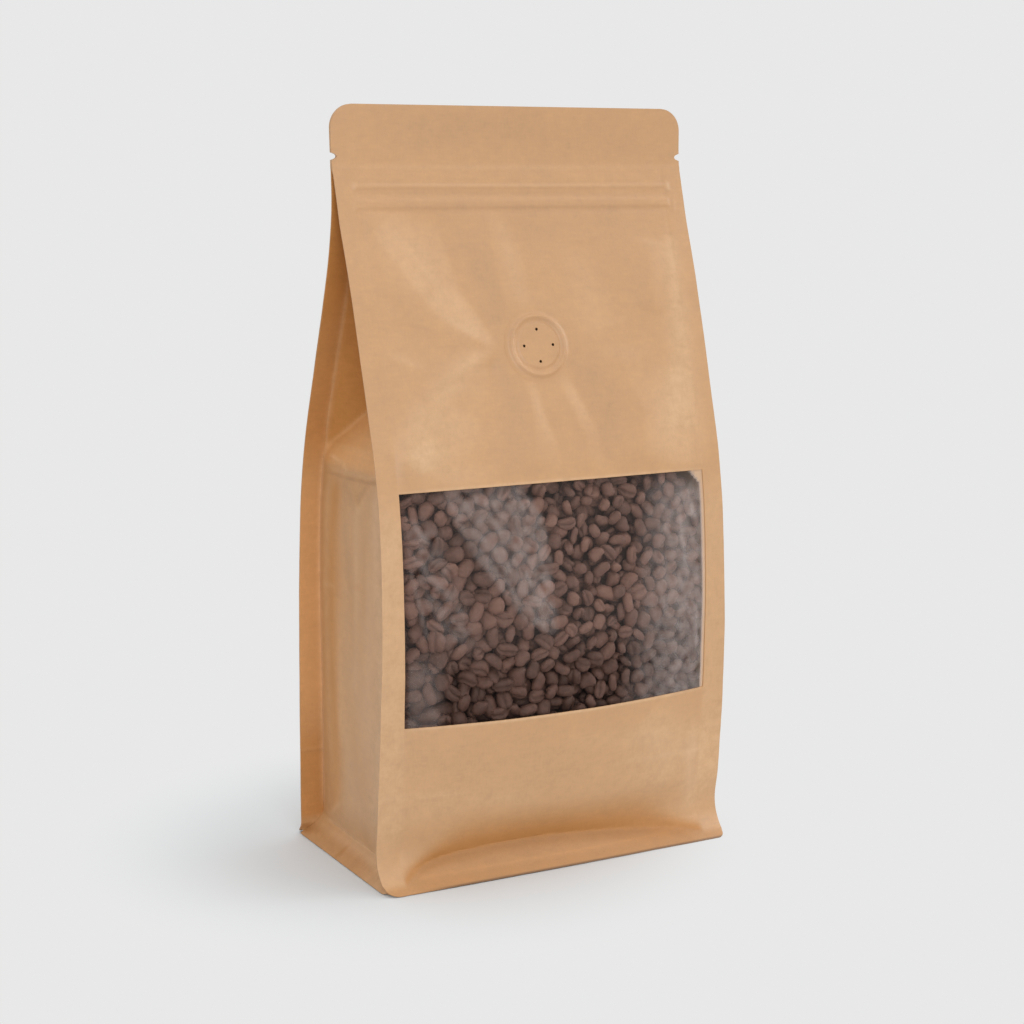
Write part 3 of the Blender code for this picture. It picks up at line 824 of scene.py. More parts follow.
def new_panel(name, rear=False):
    across, z = np.meshgrid(panel_columns(), panel_heights())
    outer = panel_points(across, z, rear)
    normal = grid_normals(outer, (0, 1 if rear else -1, 0))
    inner = header_filled(outer - normal * SHEET, rear)
    kept = np.ones((outer.shape[0] - 1, outer.shape[1] - 1), dtype=bool)
    if not rear:
        middle_x = (outer[:-1, :-1, 0] + outer[1:, 1:, 0]) / 2
        middle_z = (outer[:-1, :-1, 2] + outer[1:, 1:, 2]) / 2
        window = (np.abs(middle_x) < WINDOW_HALF_WIDTH) & (middle_z > WINDOW_BOTTOM)
        kept &= ~(window & (middle_z < WINDOW_TOP))
        kept &= np.hypot(middle_x, middle_z - VALVE_HEIGHT) > VALVE_REACH - 3.5
    return closed_sheet(name, outer, inner, kept)


def new_gusset(name):
    heights = spaced((LIFT, 0.6), (16, 1.2), (118, 0.6), (150, 1.0), (172, 1.2), (238.5, 1))
    fin = 1 + np.linspace(0, 0.985, 10)[1:]
    across, z = np.meshgrid(np.concatenate([-fin[::-1], np.linspace(-1, 1, 61), fin]), heights)
    outer = gusset_points(across, z, name)
    inner = outer - grid_normals(outer, (1, 0, 0)) * SHEET
    # The fins thicken straight towards their panels
    flange = np.clip((np.abs(across) - 0.97) * 30, 0, 1) * (1 - skirt_spread(z))
    towards = np.zeros_like(outer)
    towards[..., 1] = np.where(across < 0, -1, 1)
    inner = mix(inner, outer + towards * SHEET, flange[..., None])
    if name == "left":
        outer[..., 0] *= -1
        inner[..., 0] *= -1
    return closed_sheet("gusset_" + name, outer, inner)


# ---------------------------------------------------------------- base


# How far the base sheet's middle is above the floor
BASE_GAP = 0.03
# The base sheet's underside: (distance in from the outline, height). It lies behind the skirt
# first, then comes down to the floor.
BASE_PROFILE = (
    (1.3, 0.55), (2.2, 0.75), (3.4, 1.1), (4.6, 1.4), (5.8, 1.5), (6.8, 1.4), (7.8, 1.0),
    (9.0, 0.5), (10.4, 0.15), (12.5, BASE_GAP),
)


def base_outline():
    """The pouch's outline on the floor, anticlockwise from above."""
    across = np.linspace(-2, 2, 129)
    body = np.linspace(-1, 1, 31)
    floor = np.zeros_like(across)
    points = np.concatenate([
        panel_points(across, floor), panel_points(across, floor, rear=True),
        gusset_points(body, np.zeros_like(body), "right"),
        gusset_points(body, np.zeros_like(body), "left") * (-1, 1, 1),
    ])
    return points[convex_hull_2d(points[:, :2].tolist())]


def new_base():
    outline = base_outline()
    half = np.abs(outline[:, :2]).max(axis=0)
    rings = []
    for inset, height in BASE_PROFILE:
        level = np.full(len(outline), height)
        rings.append(np.column_stack([outline[:, :2] * (1 - inset / half), level]))
    for share in (0.8, 0.6, 0.4, 0.2, 0.0):
        ring = rings[len(BASE_PROFILE) - 1].copy()
        ring[:, :2] *= share
        crease = 0.35 * np.exp(-((ring[:, 1] / 1.6) ** 2)) * (np.abs(ring[:, 0]) < 48)
        ring[:, 2] = BASE_GAP + crease
        rings.append(ring)
    under = np.stack(rings)
    under = np.concatenate([under, under[:, :1]], axis=1)
    upper = under + np.array([0, 0, SHEET])
    return closed_sheet("base_sheet", upper, under, wrapped=True)


# ---------------------------------------------------------------- window film


def film_wrinkles(x, z):
    """The slack film's own folds, sunk towards the beans."""
    lines = (
        ((-44, 136), (-14, 88), 4.0, -0.28),
        ((-8, 134), (-5, 86), 3.0, -0.34),
        ((-54, 130), (-30, 90), 4.0, -0.28),
        ((-57, 120), (-46, 66), 3.0, -0.24),
        ((34, 122), (24, 80), 6.0, -0.24),
        ((53, 132), (52, 90), 2.2, -0.28),
        ((16, 130), (24, 96), 6.0, -0.20),
    )
    return folds(x, z, lines) + 0.05 * ripples(x, z, 6, 16, seed=41)


def new_film():
    reach = WINDOW_HALF_WIDTH + 0.2
    columns = np.linspace(-reach, reach, 111)
    heights = np.linspace(WINDOW_BOTTOM - FILM_OVERLAP, WINDOW_TOP + FILM_OVERLAP, 78)
    x, z = np.meshgrid(columns, heights)
    held = eased(reach - np.abs(x), 0.4, 6) * eased(z, WINDOW_BOTTOM - 1, WINDOW_BOTTOM + 6)
    held *= 1 - eased(z, WINDOW_TOP - 6, WINDOW_TOP + 1)
    y = smooth_front(x, z) - film_wrinkles(x, z) * held
    y = mix(panel_surface(x, z), y, held) + FILM_DEPTH
    outer = np.stack([x, y, z], axis=-1)
    inner = outer + np.array([0, FILM_SHEET, 0])
    return closed_sheet("window_film_sheet", outer, inner)


def film_haze_and_reflection(x, y, z):
    """How milky the film is where it stands off the beans, with painted reflections of the soft lights in it:
    a pale wedge, pale bands and patches and glints; and how much of it is tan, the lit lining behind painted
    onto the film.
    """
    uneven = ripples(x, z, 5, 22, seed=43)
    streaky = ripples(x * 2.2 + z * 0.8, z * 0.3, 5, 14, seed=47)
    fine = ripples(x, z, 3, 8, seed=53)
    haze_and_reflection = mix(0.001, 0.018, eased(z, 66, 88)) + 0.003 * uneven
    # Painted reflection: a pale wedge of soft light across the upper middle
    left_edge = np.interp(z, [83, 88, 96, 114, 134], [-6, -14, -21, -33.5, -45])
    right_edge = np.interp(z, [83, 100, 114, 122, 133], [-4.2, -5.0, -5.6, -6.6, -12])
    wedge = eased(x, left_edge - 2.5, left_edge + 3) * (1 - eased(x, right_edge - 2.0, right_edge + 1.2))
    wedge *= eased(z, 82, 88) * (1 - 0.55 * eased(z, 130, 133.5))
    haze_and_reflection += wedge * (0.078 + 0.028 * streaky + 0.050 * fine)
    # Painted reflection: a pale band at the left
    pale_middle = np.interp(z, [80, 94, 112, 128], [-38, -44, -50, -54])
    pale = np.exp(-(((x - pale_middle) / 6.0) ** 4)) * eased(z, 79, 88) * (1 - eased(z, 120, 130))
    haze_and_reflection += pale * (0.038 + 0.046 * fine)
    # Painted reflection: a pale patch in the lower left corner
    corner = (1 - eased(x, -50, -44)) * eased(x, -58.6, -57.2) * (1 - eased(z, 74, 84))
    haze_and_reflection += corner * (0.050 + 0.016 * fine)
    # Painted reflection: milky light growing towards the right
    right = eased(x, mix(16, 30, (z - 60) / 70), 48) * (1 - 0.8 * eased(z, 126, 134))
    haze_and_reflection += right * (0.120 + 0.026 * streaky + 0.055 * fine)
    # Painted highlights: thin glints on the film
    glints = (
        ((47.5, 124), (50.5, 96), 0.9, 0.10), ((52.5, 128), (54.5, 118), 0.8, 0.16),
        ((-34, 114), (-21, 97), 0.7, 0.05), ((-16, 108), (-11, 94), 0.8, 0.06),
        ((-56.5, 110), (-51, 86), 0.7, 0.06), ((54.5, 88), (55, 70), 0.8, 0.10),
        ((-55, 125), (-50, 118), 0.7, 0.07),
    )
    haze_and_reflection += folds(x, z, glints)
    # The tan lining behind the film's right edge and top right corner, painted onto the film as lit
    bare = eased(x, 57.5, 58.2) + (1 - eased(58.5 - x + (134.5 - z) * 0.8, 4.0, 5.2))
    tan = np.clip(bare, 0, 1)
    return np.stack([np.clip(haze_and_reflection + 0.78 * tan, 0.003, 0.85), tan, 0 * x], axis=-1)


# ---------------------------------------------------------------- beans


def bean_shape(kind):
    """One bean of a kind: its points, in units of its half length, and its faces."""
    rng = np.random.default_rng(70 + kind)
    section = np.array([
        (-1.0, 0.02), (-0.80, 0.60), (-0.38, 0.93), (0.04, 1.0), (0.44, 0.91), (0.82, 0.56),
        (1.0, -0.02), (0.74, -0.52), (0.22, -0.66), (0.0, -0.16), (-0.22, -0.66), (-0.74, -0.50),
    ])
    stations = np.array([-0.96, -0.74, -0.36, 0.06, 0.46, 0.78, 0.96])
    bend = rng.uniform(-0.30, 0.45)
    lop = rng.uniform(-0.12, 0.12)
    waist = rng.uniform(0.0, 0.12)
    rings = []
    for at in stations:
        girth = (1 - abs(at) ** 2.9) ** 0.5 * (1 - waist * math.exp(-((at / 0.3) ** 2)))
        lumps = 1 + rng.uniform(-0.055, 0.055, len(section))
        across = section[:, 0] * girth * lumps
        up = section[:, 1] * girth * lumps
        crease = 0.12 * math.sin(2.4 * at + kind)
        across[8:11] += crease * girth
        rings.append(np.column_stack([
            np.full(len(section), at), across + bend * at**2 + lop * at, up + 0.10 * at * rng.normal()
        ]))
    points = np.concatenate([*rings, [[-1.0, bend - lop, 0.0], [1.0, bend + lop, 0.0]]])
    faces = []
    sides = len(section)
    for ring in range(len(stations) - 1):
        for k in range(sides):
            after = (k + 1) % sides
            faces.append([ring * sides + k, ring * sides + after, (ring + 1) * sides + after,
                          (ring + 1) * sides + k])
    last = (len(stations) - 1) * sides
    for k in range(sides):
        after = (k + 1) % sides
        faces.append([after, k, len(points) - 2])
        faces.append([last + k, last + after, len(points) - 1])
    return points, faces


def bean_kind(kind):
    """A mesh object one unit long from its middle to its tip, for the heap to repeat."""
    points, faces = bean_shape(kind)
    mesh = bpy.data.meshes.new(f"bean_kind_{kind}")
    mesh.from_pydata(points.tolist(), [], faces)
    clean_mesh(mesh)
    return bpy.data.objects.new(f"bean_kind_{kind}", mesh)


def heap_top(x):
    """The height of the heap behind the window, where its beans' middles end."""
    return np.interp(x, [-60, 48, 52, 55, 57.5], [137, 137, 134, 130.5, 127])


def settle(places, spacing, low, high, rounds, depth_scale):
    """Pushes crowded places apart inside a box, with depth counted more."""
    scale = np.array([1.0, depth_scale, 1.0])
    points = places * scale
    low = low * scale
    high = high * scale
    for _ in range(rounds):
        gap = points[:, None, :] - points[None, :, :]
        distance = np.sqrt((gap**2).sum(axis=-1)) + 1e-6
        push = np.clip(spacing - distance, 0, None) / distance * 0.25
        np.fill_diagonal(push, 0)
        points = points + (gap * push[..., None]).sum(axis=1)
        points = np.clip(points, low, high)
    return points / scale


def pack_beans(seed, spacing, depth):
    """Places (x, depth behind the film, z) of the beans that can be seen."""
    rng = np.random.default_rng(seed)
    low = np.array([-57.5, 0.0, WINDOW_BOTTOM - 4])
    high = np.array([57.5, depth, 137.0])
    size = high - low
    count = int(size.prod() / (spacing**3 * 0.60))
    places = low + size * rng.random((count, 3))
    places = settle(places, spacing, low, high, 70, 1.20)
    return places[places[:, 2] < heap_top(places[:, 0])]


def euler_for(short_axis, spin):
    """Euler angles that turn a bean's up axis to short_axis, spun about it."""
    up = short_axis / np.linalg.norm(short_axis)
    side = np.cross(up, (0.0, 0.0, 1.0) if abs(up[2]) < 0.9 else (1.0, 0.0, 0.0))
    side /= np.linalg.norm(side)
    other = np.cross(up, side)
    length = side * math.cos(spin) + other * math.sin(spin)
    width = np.cross(up, length)
    y = math.asin(max(-1.0, min(1.0, -length[2])))
    return (math.atan2(width[2], up[2]), y, math.atan2(length[1], length[0])), length, width, up


def bean_points(seed, spacing, depth, kinds):
    """A mesh of one point per bean, with its turn, its size and its kind."""
    rng = np.random.default_rng(seed + 1)
    rows = []
    for x, behind, z in pack_beans(seed, spacing, depth):
        tilt = rng.normal(0, 0.75, 2)
        facing = -1.0 if rng.random() < 0.6 else 1.0
        short_axis = np.array([tilt[0], facing, tilt[1] + 0.1])
        angles, length, width, up = euler_for(short_axis, rng.random() * math.pi * 2)
        smaller = 0.80 * float(eased(x, -30, 20)) + 0.25 * float(eased(z, 80, 120))
        round_one = rng.random() < 0.58
        half_length = rng.uniform(3.0, 4.0) if round_one else rng.uniform(3.6, 4.5)
        half_length -= min(smaller, 0.95) * rng.uniform(0.4, 1.3)
        girth = rng.uniform(0.84, 0.98) if round_one else rng.uniform(0.58, 0.72)
        depth_share = rng.uniform(0.66, 0.82) if round_one else rng.uniform(0.48, 0.60)
        sizes = half_length * np.array([1.0, girth, depth_share])
        reach_x, reach, _ = np.sqrt(((sizes * np.stack([length, width, up], axis=1)) ** 2).sum(axis=1))
        x = min(max(x, reach_x * 1.12 - 58.4), 58.8 - reach_x * 1.03)
        front = float(smooth_front(x, z)) + FILM_DEPTH + 0.9
        behind *= 1 - 0.7 * float(eased(x, 50, 55))
        y = front + reach * 1.12 + max(behind - 1.2, 0.0)
        upper = float(eased(z, 64, 92))
        shade = mix(0.38, 0.65, upper) * rng.random() + 0.38 * upper - 0.10
        # Painted shadow: beans along a diagonal band at the upper left made darker
        shade -= 0.35 * float(along_line(x, z, (-54, 131), (-14, 96), 4.0))
        rows.append((x, y, z, *angles, *sizes, rng.integers(kinds), shade))
    return np.array(rows)


CORE_HALF_WIDTH = 55.0
# The core's rings: (height, its share of the core's full size)
CORE_RINGS = (
    (3, 0.9), (8, 1.0), (40, 1), (80, 1), (110, 1), (122, 0.97), (127, 0.85), (129, 0.5),
)


def new_core():
    """The heap's dark inside, a little smaller than the beans that cover it. With no shade of its own it
    takes the darkest roast: painted shade for the heap's depths.
    """
    turns = np.linspace(0, 2 * math.pi, 49)
    rings = []
    for z, shrink in CORE_RINGS:
        front = float(front_edge(z)) + 6.5 + 4 * (z > 50)
        rear = float(back_edge(z)) - 3
        middle = (front + rear) / 2
        across = CORE_HALF_WIDTH * shrink * np.sign(np.cos(turns)) * np.abs(np.cos(turns)) ** 0.4
        deep = (rear - front) / 2 * shrink * np.sign(np.sin(turns)) * np.abs(np.sin(turns)) ** 0.4
        rings.append(np.column_stack([across, middle + deep, np.full(len(turns), float(z))]))
    low = rings[0].mean(axis=0, keepdims=True).repeat(len(turns), axis=0)
    high = rings[-1].mean(axis=0, keepdims=True).repeat(len(turns), axis=0)
    grid = np.stack([low, *rings, high])
    rows, columns = grid.shape[:2]
    index = np.arange(rows * columns).reshape(rows, columns)
    quads = np.stack([index[:-1, :-1], index[:-1, 1:], index[1:, 1:], index[1:, :-1]], axis=-1)
    return solid_mesh("bean_core", grid.reshape(-1, 3), quads.reshape(-1, 4), sharp=60)


# ---------------------------------------------------------------- valve


# The valve's relief out of the panel: (distance from its middle, height)
VALVE_PROFILE = curve_through((
    (0, 0.34), (6.8, 0.38), (7.6, 0.36), (8.1, 0.14), (8.7, 0.06), (9.3, 0.34), (9.9, 0.78),
    (10.4, 0.84), (10.9, 0.52), (11.4, 0.16), (12.0, 0.04), (13.0, 0.02),
))


def new_valve_blank():
    """The valve's cover as a flat turned sheet about Z, before its pinholes are pierced."""
    radii = np.concatenate([[0.0], np.arange(0.9, 6.9, 0.85), np.arange(7.0, 13.01, 0.25)])
    turns = np.linspace(0, 2 * math.pi, 97) + 0.017
    radius, turn = np.meshgrid(radii, turns, indexing="ij")
    height = VALVE_PROFILE(radius) + 0.02
    upper = np.stack([radius * np.cos(turn), radius * np.sin(turn), height], axis=-1)
    lower = upper - np.array([0, 0, 0.30])
    lower[-1, :, 2] = -0.10
    return closed_sheet("valve_cover", upper, lower, wrapped=True)


def press_onto_panel(target):
    """Moves a piece from about the origin to the valve's place, its Z out of the panel."""
    mesh = target.data
    u, v, out = places_of(mesh).astype(float) / MM
    rise = front_edge(VALVE_HEIGHT + 1.0) - front_edge(VALVE_HEIGHT - 1.0)
    lean = math.atan2(rise, 2.0)
    z = VALVE_HEIGHT + v * math.cos(lean)
    y = panel_surface(u, z) - out * math.cos(lean)
    z = z + out * math.sin(lean)
    placed = np.stack([u, y, z], axis=-1) * MM
    mesh.vertices.foreach_set("co", placed.reshape(-1))
    clean_mesh(mesh, sharp=40)


# ---------------------------------------------------------------- node helpers


def add_node(tree, kind, values=(), **settings):
    """A node with its settings, and its inputs set or linked by name or place."""
    made = tree.nodes.new(kind)
    for name, value in settings.items():
        setattr(made, name, value)
    for name, value in dict(values).items():
        if isinstance(value, bpy.types.NodeSocket):
            tree.links.new(value, made.inputs[name])
        else:
            made.inputs[name].default_value = value
    return made


def add_sockets(tree, inputs, outputs):
    """Named sockets on a node group: (name, kind, default) for inputs, (name, kind) for outputs."""
    for name, kind, default in inputs:
        socket = tree.interface.new_socket(name, in_out="INPUT", socket_type=kind)
        if default is not None:
            socket.default_value = default
    for name, kind in outputs:
        tree.interface.new_socket(name, in_out="OUTPUT", socket_type=kind)


def run_tree(target, tree, values):
    """Evaluates a Geometry Nodes tree on an object and leaves the result as a plain mesh."""
    modifier = target.modifiers.new(tree.name, "NODES")
    modifier.node_group = tree
    for socket in tree.interface.items_tree:
        if socket.in_out == "INPUT" and socket.name in values:
            modifier[socket.identifier] = values[socket.name]
    graph = bpy.context.evaluated_depsgraph_get()
    made = bpy.data.meshes.new_from_object(target.evaluated_get(graph))
    target.modifiers.remove(modifier)
    old = target.data
    target.data = made
    bpy.data.meshes.remove(old)


def pinhole_tree():
    """Pierces a ring of pinholes through a flat sheet."""
    tree = bpy.data.node_groups.new("pierce_pinholes", "GeometryNodeTree")
    add_sockets(
        tree,
        [
            ("Geometry", "NodeSocketGeometry", None), ("Holes", "NodeSocketInt", 4),
            ("Ring Radius", "NodeSocketFloat", 0.0056), ("Hole Radius", "NodeSocketFloat", 0.0005),
            ("Depth", "NodeSocketFloat", 0.004), ("Material", "NodeSocketMaterial", None),
        ],
        [("Geometry", "NodeSocketGeometry")],
    )
    given = add_node(tree, "NodeGroupInput").outputs
    ring = add_node(
        tree, "GeometryNodeMeshCircle", {"Vertices": given["Holes"], "Radius": given["Ring Radius"]}
    )
    pin = add_node(
        tree, "GeometryNodeMeshCylinder",
        {"Vertices": 14, "Radius": given["Hole Radius"], "Depth": given["Depth"]},
    )
    pins = add_node(
        tree, "GeometryNodeInstanceOnPoints",
        {"Points": ring.outputs["Mesh"], "Instance": pin.outputs["Mesh"]},
    )
    cutters = add_node(tree, "GeometryNodeRealizeInstances", {0: pins.outputs[0]})
    pierced = add_node(
        tree, "GeometryNodeMeshBoolean", {0: given["Geometry"], 1: cutters.outputs[0]},
        operation="DIFFERENCE", solver="EXACT",
    )
    real = add_node(tree, "GeometryNodeRealizeInstances", {0: pierced.outputs["Mesh"]})
    finished = add_node(
        tree, "GeometryNodeSetMaterial", {"Geometry": real.outputs[0], "Material": given["Material"]}
    )
    add_node(tree, "NodeGroupOutput", {0: finished.outputs[0]})
    return tree


def heap_tree():
    """Puts a bean of each point's kind at it, turned and sized as the point says."""
    tree = bpy.data.node_groups.new("heap_of_beans", "GeometryNodeTree")
    add_sockets(
        tree,
        [
            ("Geometry", "NodeSocketGeometry", None), ("Kinds", "NodeSocketCollection", None),
            ("Size", "NodeSocketFloat", 1.0), ("Material", "NodeSocketMaterial", None),
        ],
        [("Geometry", "NodeSocketGeometry")],
    )
    given = add_node(tree, "NodeGroupInput").outputs
    kinds = add_node(
        tree, "GeometryNodeCollectionInfo",
        {"Collection": given["Kinds"], "Separate Children": True, "Reset Children": True},
    )

    def stored(name, kind):
        return add_node(
            tree, "GeometryNodeInputNamedAttribute", {"Name": name}, data_type=kind
        ).outputs["Attribute"]

    turn = add_node(tree, "FunctionNodeEulerToRotation", {0: stored("turn", "FLOAT_VECTOR")})
    sized = add_node(
        tree, "ShaderNodeVectorMath", {0: stored("size", "FLOAT_VECTOR"), "Scale": given["Size"]},
        operation="SCALE",
    )
    heap = add_node(
        tree, "GeometryNodeInstanceOnPoints",
        {
            "Points": given["Geometry"], "Instance": kinds.outputs[0], "Pick Instance": True,
            "Instance Index": stored("kind", "INT"), "Rotation": turn.outputs[0],
            "Scale": sized.outputs[0],
        },
    )
    real = add_node(tree, "GeometryNodeRealizeInstances", {0: heap.outputs[0]})
    finished = add_node(
        tree, "GeometryNodeSetMaterial", {"Geometry": real.outputs[0], "Material": given["Material"]}
    )
    add_node(tree, "NodeGroupOutput", {0: finished.outputs[0]})
    return tree


# ---------------------------------------------------------------- materials


def paper_group():
    """Unbleached paper under a satin film: cloudy tone and long fibres, with painted light from its
    attribute: painted shade, a painted pale sheen and a painted deeper colour in folds.
    """
    name = "kraft_paper"
    if name in bpy.data.node_groups:
        return bpy.data.node_groups[name]
    tree = bpy.data.node_groups.new(name, "ShaderNodeTree")
    add_sockets(
        tree,
        [
            ("Colour", "NodeSocketColor", (0.5, 0.3, 0.2, 1)), ("Mottle", "NodeSocketFloat", 0.1),
            ("Fibre", "NodeSocketFloat", 0.05), ("Painted Light", "NodeSocketVector", (0, 0, 0)),
            ("Roughness", "NodeSocketFloat", 0.5), ("Relief", "NodeSocketFloat", 0.2),
        ],
        [
            ("Colour", "NodeSocketColor"), ("Roughness", "NodeSocketFloat"),
            ("Normal", "NodeSocketVector"), ("Open", "NodeSocketFloat"),
        ],
    )
    given = add_node(tree, "NodeGroupInput").outputs
    place = add_node(tree, "ShaderNodeTexCoord").outputs["Object"]
    # The attribute's parts: painted shade, painted sheen and the painted depth of colour in folds
    tone, sheen, deep = add_node(tree, "ShaderNodeSeparateXYZ", {0: given["Painted Light"]}).outputs

    def noise(scale, detail, roughness=0.5, stretch=None):
        vector = place
        if stretch:
            vector = add_node(tree, "ShaderNodeMapping", {"Vector": place, "Scale": stretch}).outputs[0]
        found = add_node(
            tree, "ShaderNodeTexNoise",
            {"Vector": vector, "Scale": scale, "Detail": detail, "Roughness": roughness},
        ).outputs[0]
        return maths("SUBTRACT", found, 0.5)

    def maths(operation, a, b):
        return add_node(tree, "ShaderNodeMath", {0: a, 1: b}, operation=operation).outputs[0]

    def blend(share, a, b, kind="MIX"):
        return add_node(
            tree, "ShaderNodeMix", {0: share, 6: a, 7: b}, data_type="RGBA", blend_type=kind
        ).outputs[2]

    clouds = noise(60, 2)
    patches = noise(270, 6, 0.72)
    long_fibres = noise(900, 3, 0.6, (0.25, 0.25, 1.0))
    short_fibres = noise(1500, 3, 0.6, (1.0, 1.0, 0.3))
    cloudy = maths("ADD", maths("MULTIPLY", clouds, 0.5), patches)
    fibres = maths("MULTIPLY", maths("ADD", long_fibres, short_fibres), given["Fibre"])
    uneven = maths("ADD", maths("MULTIPLY", cloudy, given["Mottle"]), fibres)
    # Painted light and shade: the tone darkens or lightens the paper's value
    value = maths("MULTIPLY", maths("ADD", 1.0, tone), maths("ADD", 1.0, uneven))
    toned = add_node(
        tree, "ShaderNodeHueSaturation", {"Color": given["Colour"], "Value": value}
    ).outputs[0]
    # Painted shade in folds: the colour deepened and saturated
    deepened = blend(deep, toned, (1.0, 0.82, 0.58, 1), "MULTIPLY")
    # Painted sheen: mixed unevenly towards a pale cream
    uneven_sheen = maths("MULTIPLY", sheen, maths("ADD", 1.0, maths("MULTIPLY", patches, 2.0)))
    shining = blend(uneven_sheen, deepened, (0.92, 0.67, 0.42, 1))
    rough = maths("ADD", given["Roughness"], maths("MULTIPLY", patches, 0.25))
    height = maths("ADD", maths("MULTIPLY", long_fibres, 0.5), patches)
    bump = add_node(
        tree, "ShaderNodeBump",
        {"Strength": given["Relief"], "Distance": 0.0002, "Height": height},
    ).outputs[0]
    # The specular is turned down where the folds are painted deep
    clear = maths("SUBTRACT", 1.0, deep)
    add_node(tree, "NodeGroupOutput", {0: shining, 1: rough, 2: bump, 3: clear})
    return tree


def new_material(name):
    old = bpy.data.materials.get(name)
    if old is not None:
        bpy.data.materials.remove(old)
    material = bpy.data.materials.new(name)
    material.use_nodes = True
    return material, material.node_tree, material.node_tree.nodes["Principled BSDF"]


def kraft_material(name, settings):
    """Satin kraft laminate, its sheen lost inside deep folds, carrying the painted shade, painted sheen and
    painted depth of colour of its attribute.
    """
    material, tree, shader = new_material(name)
    painted_light_of = add_node(tree, "ShaderNodeAttribute", attribute_name="painted_light").outputs["Vector"]
    group = add_node(tree, "ShaderNodeGroup", node_tree=paper_group())
    group.inputs["Colour"].default_value = (*settings.colour, 1)
    group.inputs["Mottle"].default_value = settings.mottle
    group.inputs["Fibre"].default_value = settings.fibre
    group.inputs["Roughness"].default_value = settings.roughness
    tree.links.new(painted_light_of, group.inputs["Painted Light"])
    tree.links.new(group.outputs["Colour"], shader.inputs["Base Color"])
    tree.links.new(group.outputs["Roughness"], shader.inputs["Roughness"])
    tree.links.new(group.outputs["Normal"], shader.inputs["Normal"])
    level = add_node(
        tree, "ShaderNodeMath", {0: group.outputs["Open"], 1: 0.75}, operation="MULTIPLY"
    ).outputs[0]
    tree.links.new(level, shader.inputs["Specular IOR Level"])
    shader.inputs["IOR"].default_value = 1.7
    return material


def film_material(settings):
    """Clear film, milky where it stands off the beans, with the painted reflections and the painted lit
    lining of its attribute.
    """
    material, tree, shader = new_material("clear_film")
    stored = add_node(tree, "ShaderNodeAttribute", attribute_name="haze_and_reflection").outputs["Vector"]
    haze_and_reflection, tan, _ = add_node(tree, "ShaderNodeSeparateXYZ", {0: stored}).outputs
    cover = add_node(
        tree, "ShaderNodeMath", {0: haze_and_reflection, 1: settings.haze_and_reflection}, operation="MULTIPLY", use_clamp=True
    ).outputs[0]
    colour = add_node(
        tree, "ShaderNodeMix", {0: tan, 6: (*settings.tint, 1), 7: (*settings.lining, 1)},
        data_type="RGBA",
    ).outputs[2]
    tree.links.new(cover, shader.inputs["Alpha"])
    tree.links.new(colour, shader.inputs["Base Color"])
    shader.inputs["Roughness"].default_value = 0.18
    shader.inputs["Specular IOR Level"].default_value = 0.6
    return material


def bean_material(settings):
    """Roasted bean: matt brown, its tone changing from bean to bean and darker where a painted shadow is set,
    mottled and pitted.
    """
    material, tree, shader = new_material("roasted_coffee")
    place = add_node(tree, "ShaderNodeTexCoord").outputs["Object"]
    shade = add_node(tree, "ShaderNodeAttribute", attribute_name="shade").outputs["Fac"]
    mottle = add_node(
        tree, "ShaderNodeTexNoise", {"Vector": place, "Scale": 520, "Detail": 4, "Roughness": 0.6}
    ).outputs[0]
    blend = add_node(tree, "ShaderNodeMath", {0: shade, 1: mottle}, operation="ADD").outputs[0]
    share = add_node(
        tree, "ShaderNodeMapRange", {"Value": blend, "From Min": 0.4, "From Max": 1.5}
    ).outputs[0]
    colour = add_node(
        tree, "ShaderNodeMix",
        {0: share, 6: (*settings.dark_roast, 1), 7: (*settings.light_roast, 1)}, data_type="RGBA",
    ).outputs[2]
    bump = add_node(
        tree, "ShaderNodeBump", {"Strength": 0.5, "Distance": 0.0006, "Height": mottle}
    ).outputs[0]
    rough = add_node(
        tree, "ShaderNodeMapRange", {"Value": mottle, "To Min": 0.5, "To Max": 0.75}
    ).outputs[0]
    tree.links.new(colour, shader.inputs["Base Color"])
    tree.links.new(bump, shader.inputs["Normal"])
    tree.links.new(rough, shader.inputs["Roughness"])
    shader.inputs["Specular IOR Level"].default_value = 0.3
    return material


def dress(piece, material):
    """Gives a piece its one material and its body."""
    piece.data.materials.clear()
    piece.data.materials.append(material)
    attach(piece, BODY)


# ---------------------------------------------------------------- settings


class KraftSettings(bpy.types.PropertyGroup):
    colour: bpy.props.FloatVectorProperty(
        name="Colour", description="The paper's colour", subtype="COLOR", size=3, min=0, max=1,
        default=(0.500, 0.262, 0.100),
    )
    mottle: bpy.props.FloatProperty(
        name="Mottle", description="How strongly the paper's tone varies", default=0.24,
        min=0, max=1, subtype="FACTOR",
    )
    fibre: bpy.props.FloatProperty(
        name="Fibre", description="How strongly the fibres show", default=0.15,
        min=0, max=1, subtype="FACTOR",
    )
    roughness: bpy.props.FloatProperty(
        name="Roughness", description="How matt the laminate is", default=0.52,
        min=0, max=1, subtype="FACTOR",
    )


class FilmSettings(bpy.types.PropertyGroup):
    # The colour of the film's milk and its painted reflections
    tint: bpy.props.FloatVectorProperty(
        name="Tint", description="The milky film's colour", subtype="COLOR", size=3, min=0, max=1,
        default=(0.66, 0.553, 0.517),
    )
    # The tan lining painted on the film, paler than the paper as if lit
    lining: bpy.props.FloatVectorProperty(
        name="Lining", description="The lit lining seen through the film beside the beans",
        subtype="COLOR", size=3, min=0, max=1, default=(0.66, 0.44, 0.28),
    )
    # Scales the milk, the painted reflections and the painted lining together
    haze_and_reflection: bpy.props.FloatProperty(
        name="Haze and Reflection", description="How milky the film is", default=1.0, min=0, max=2,
    )


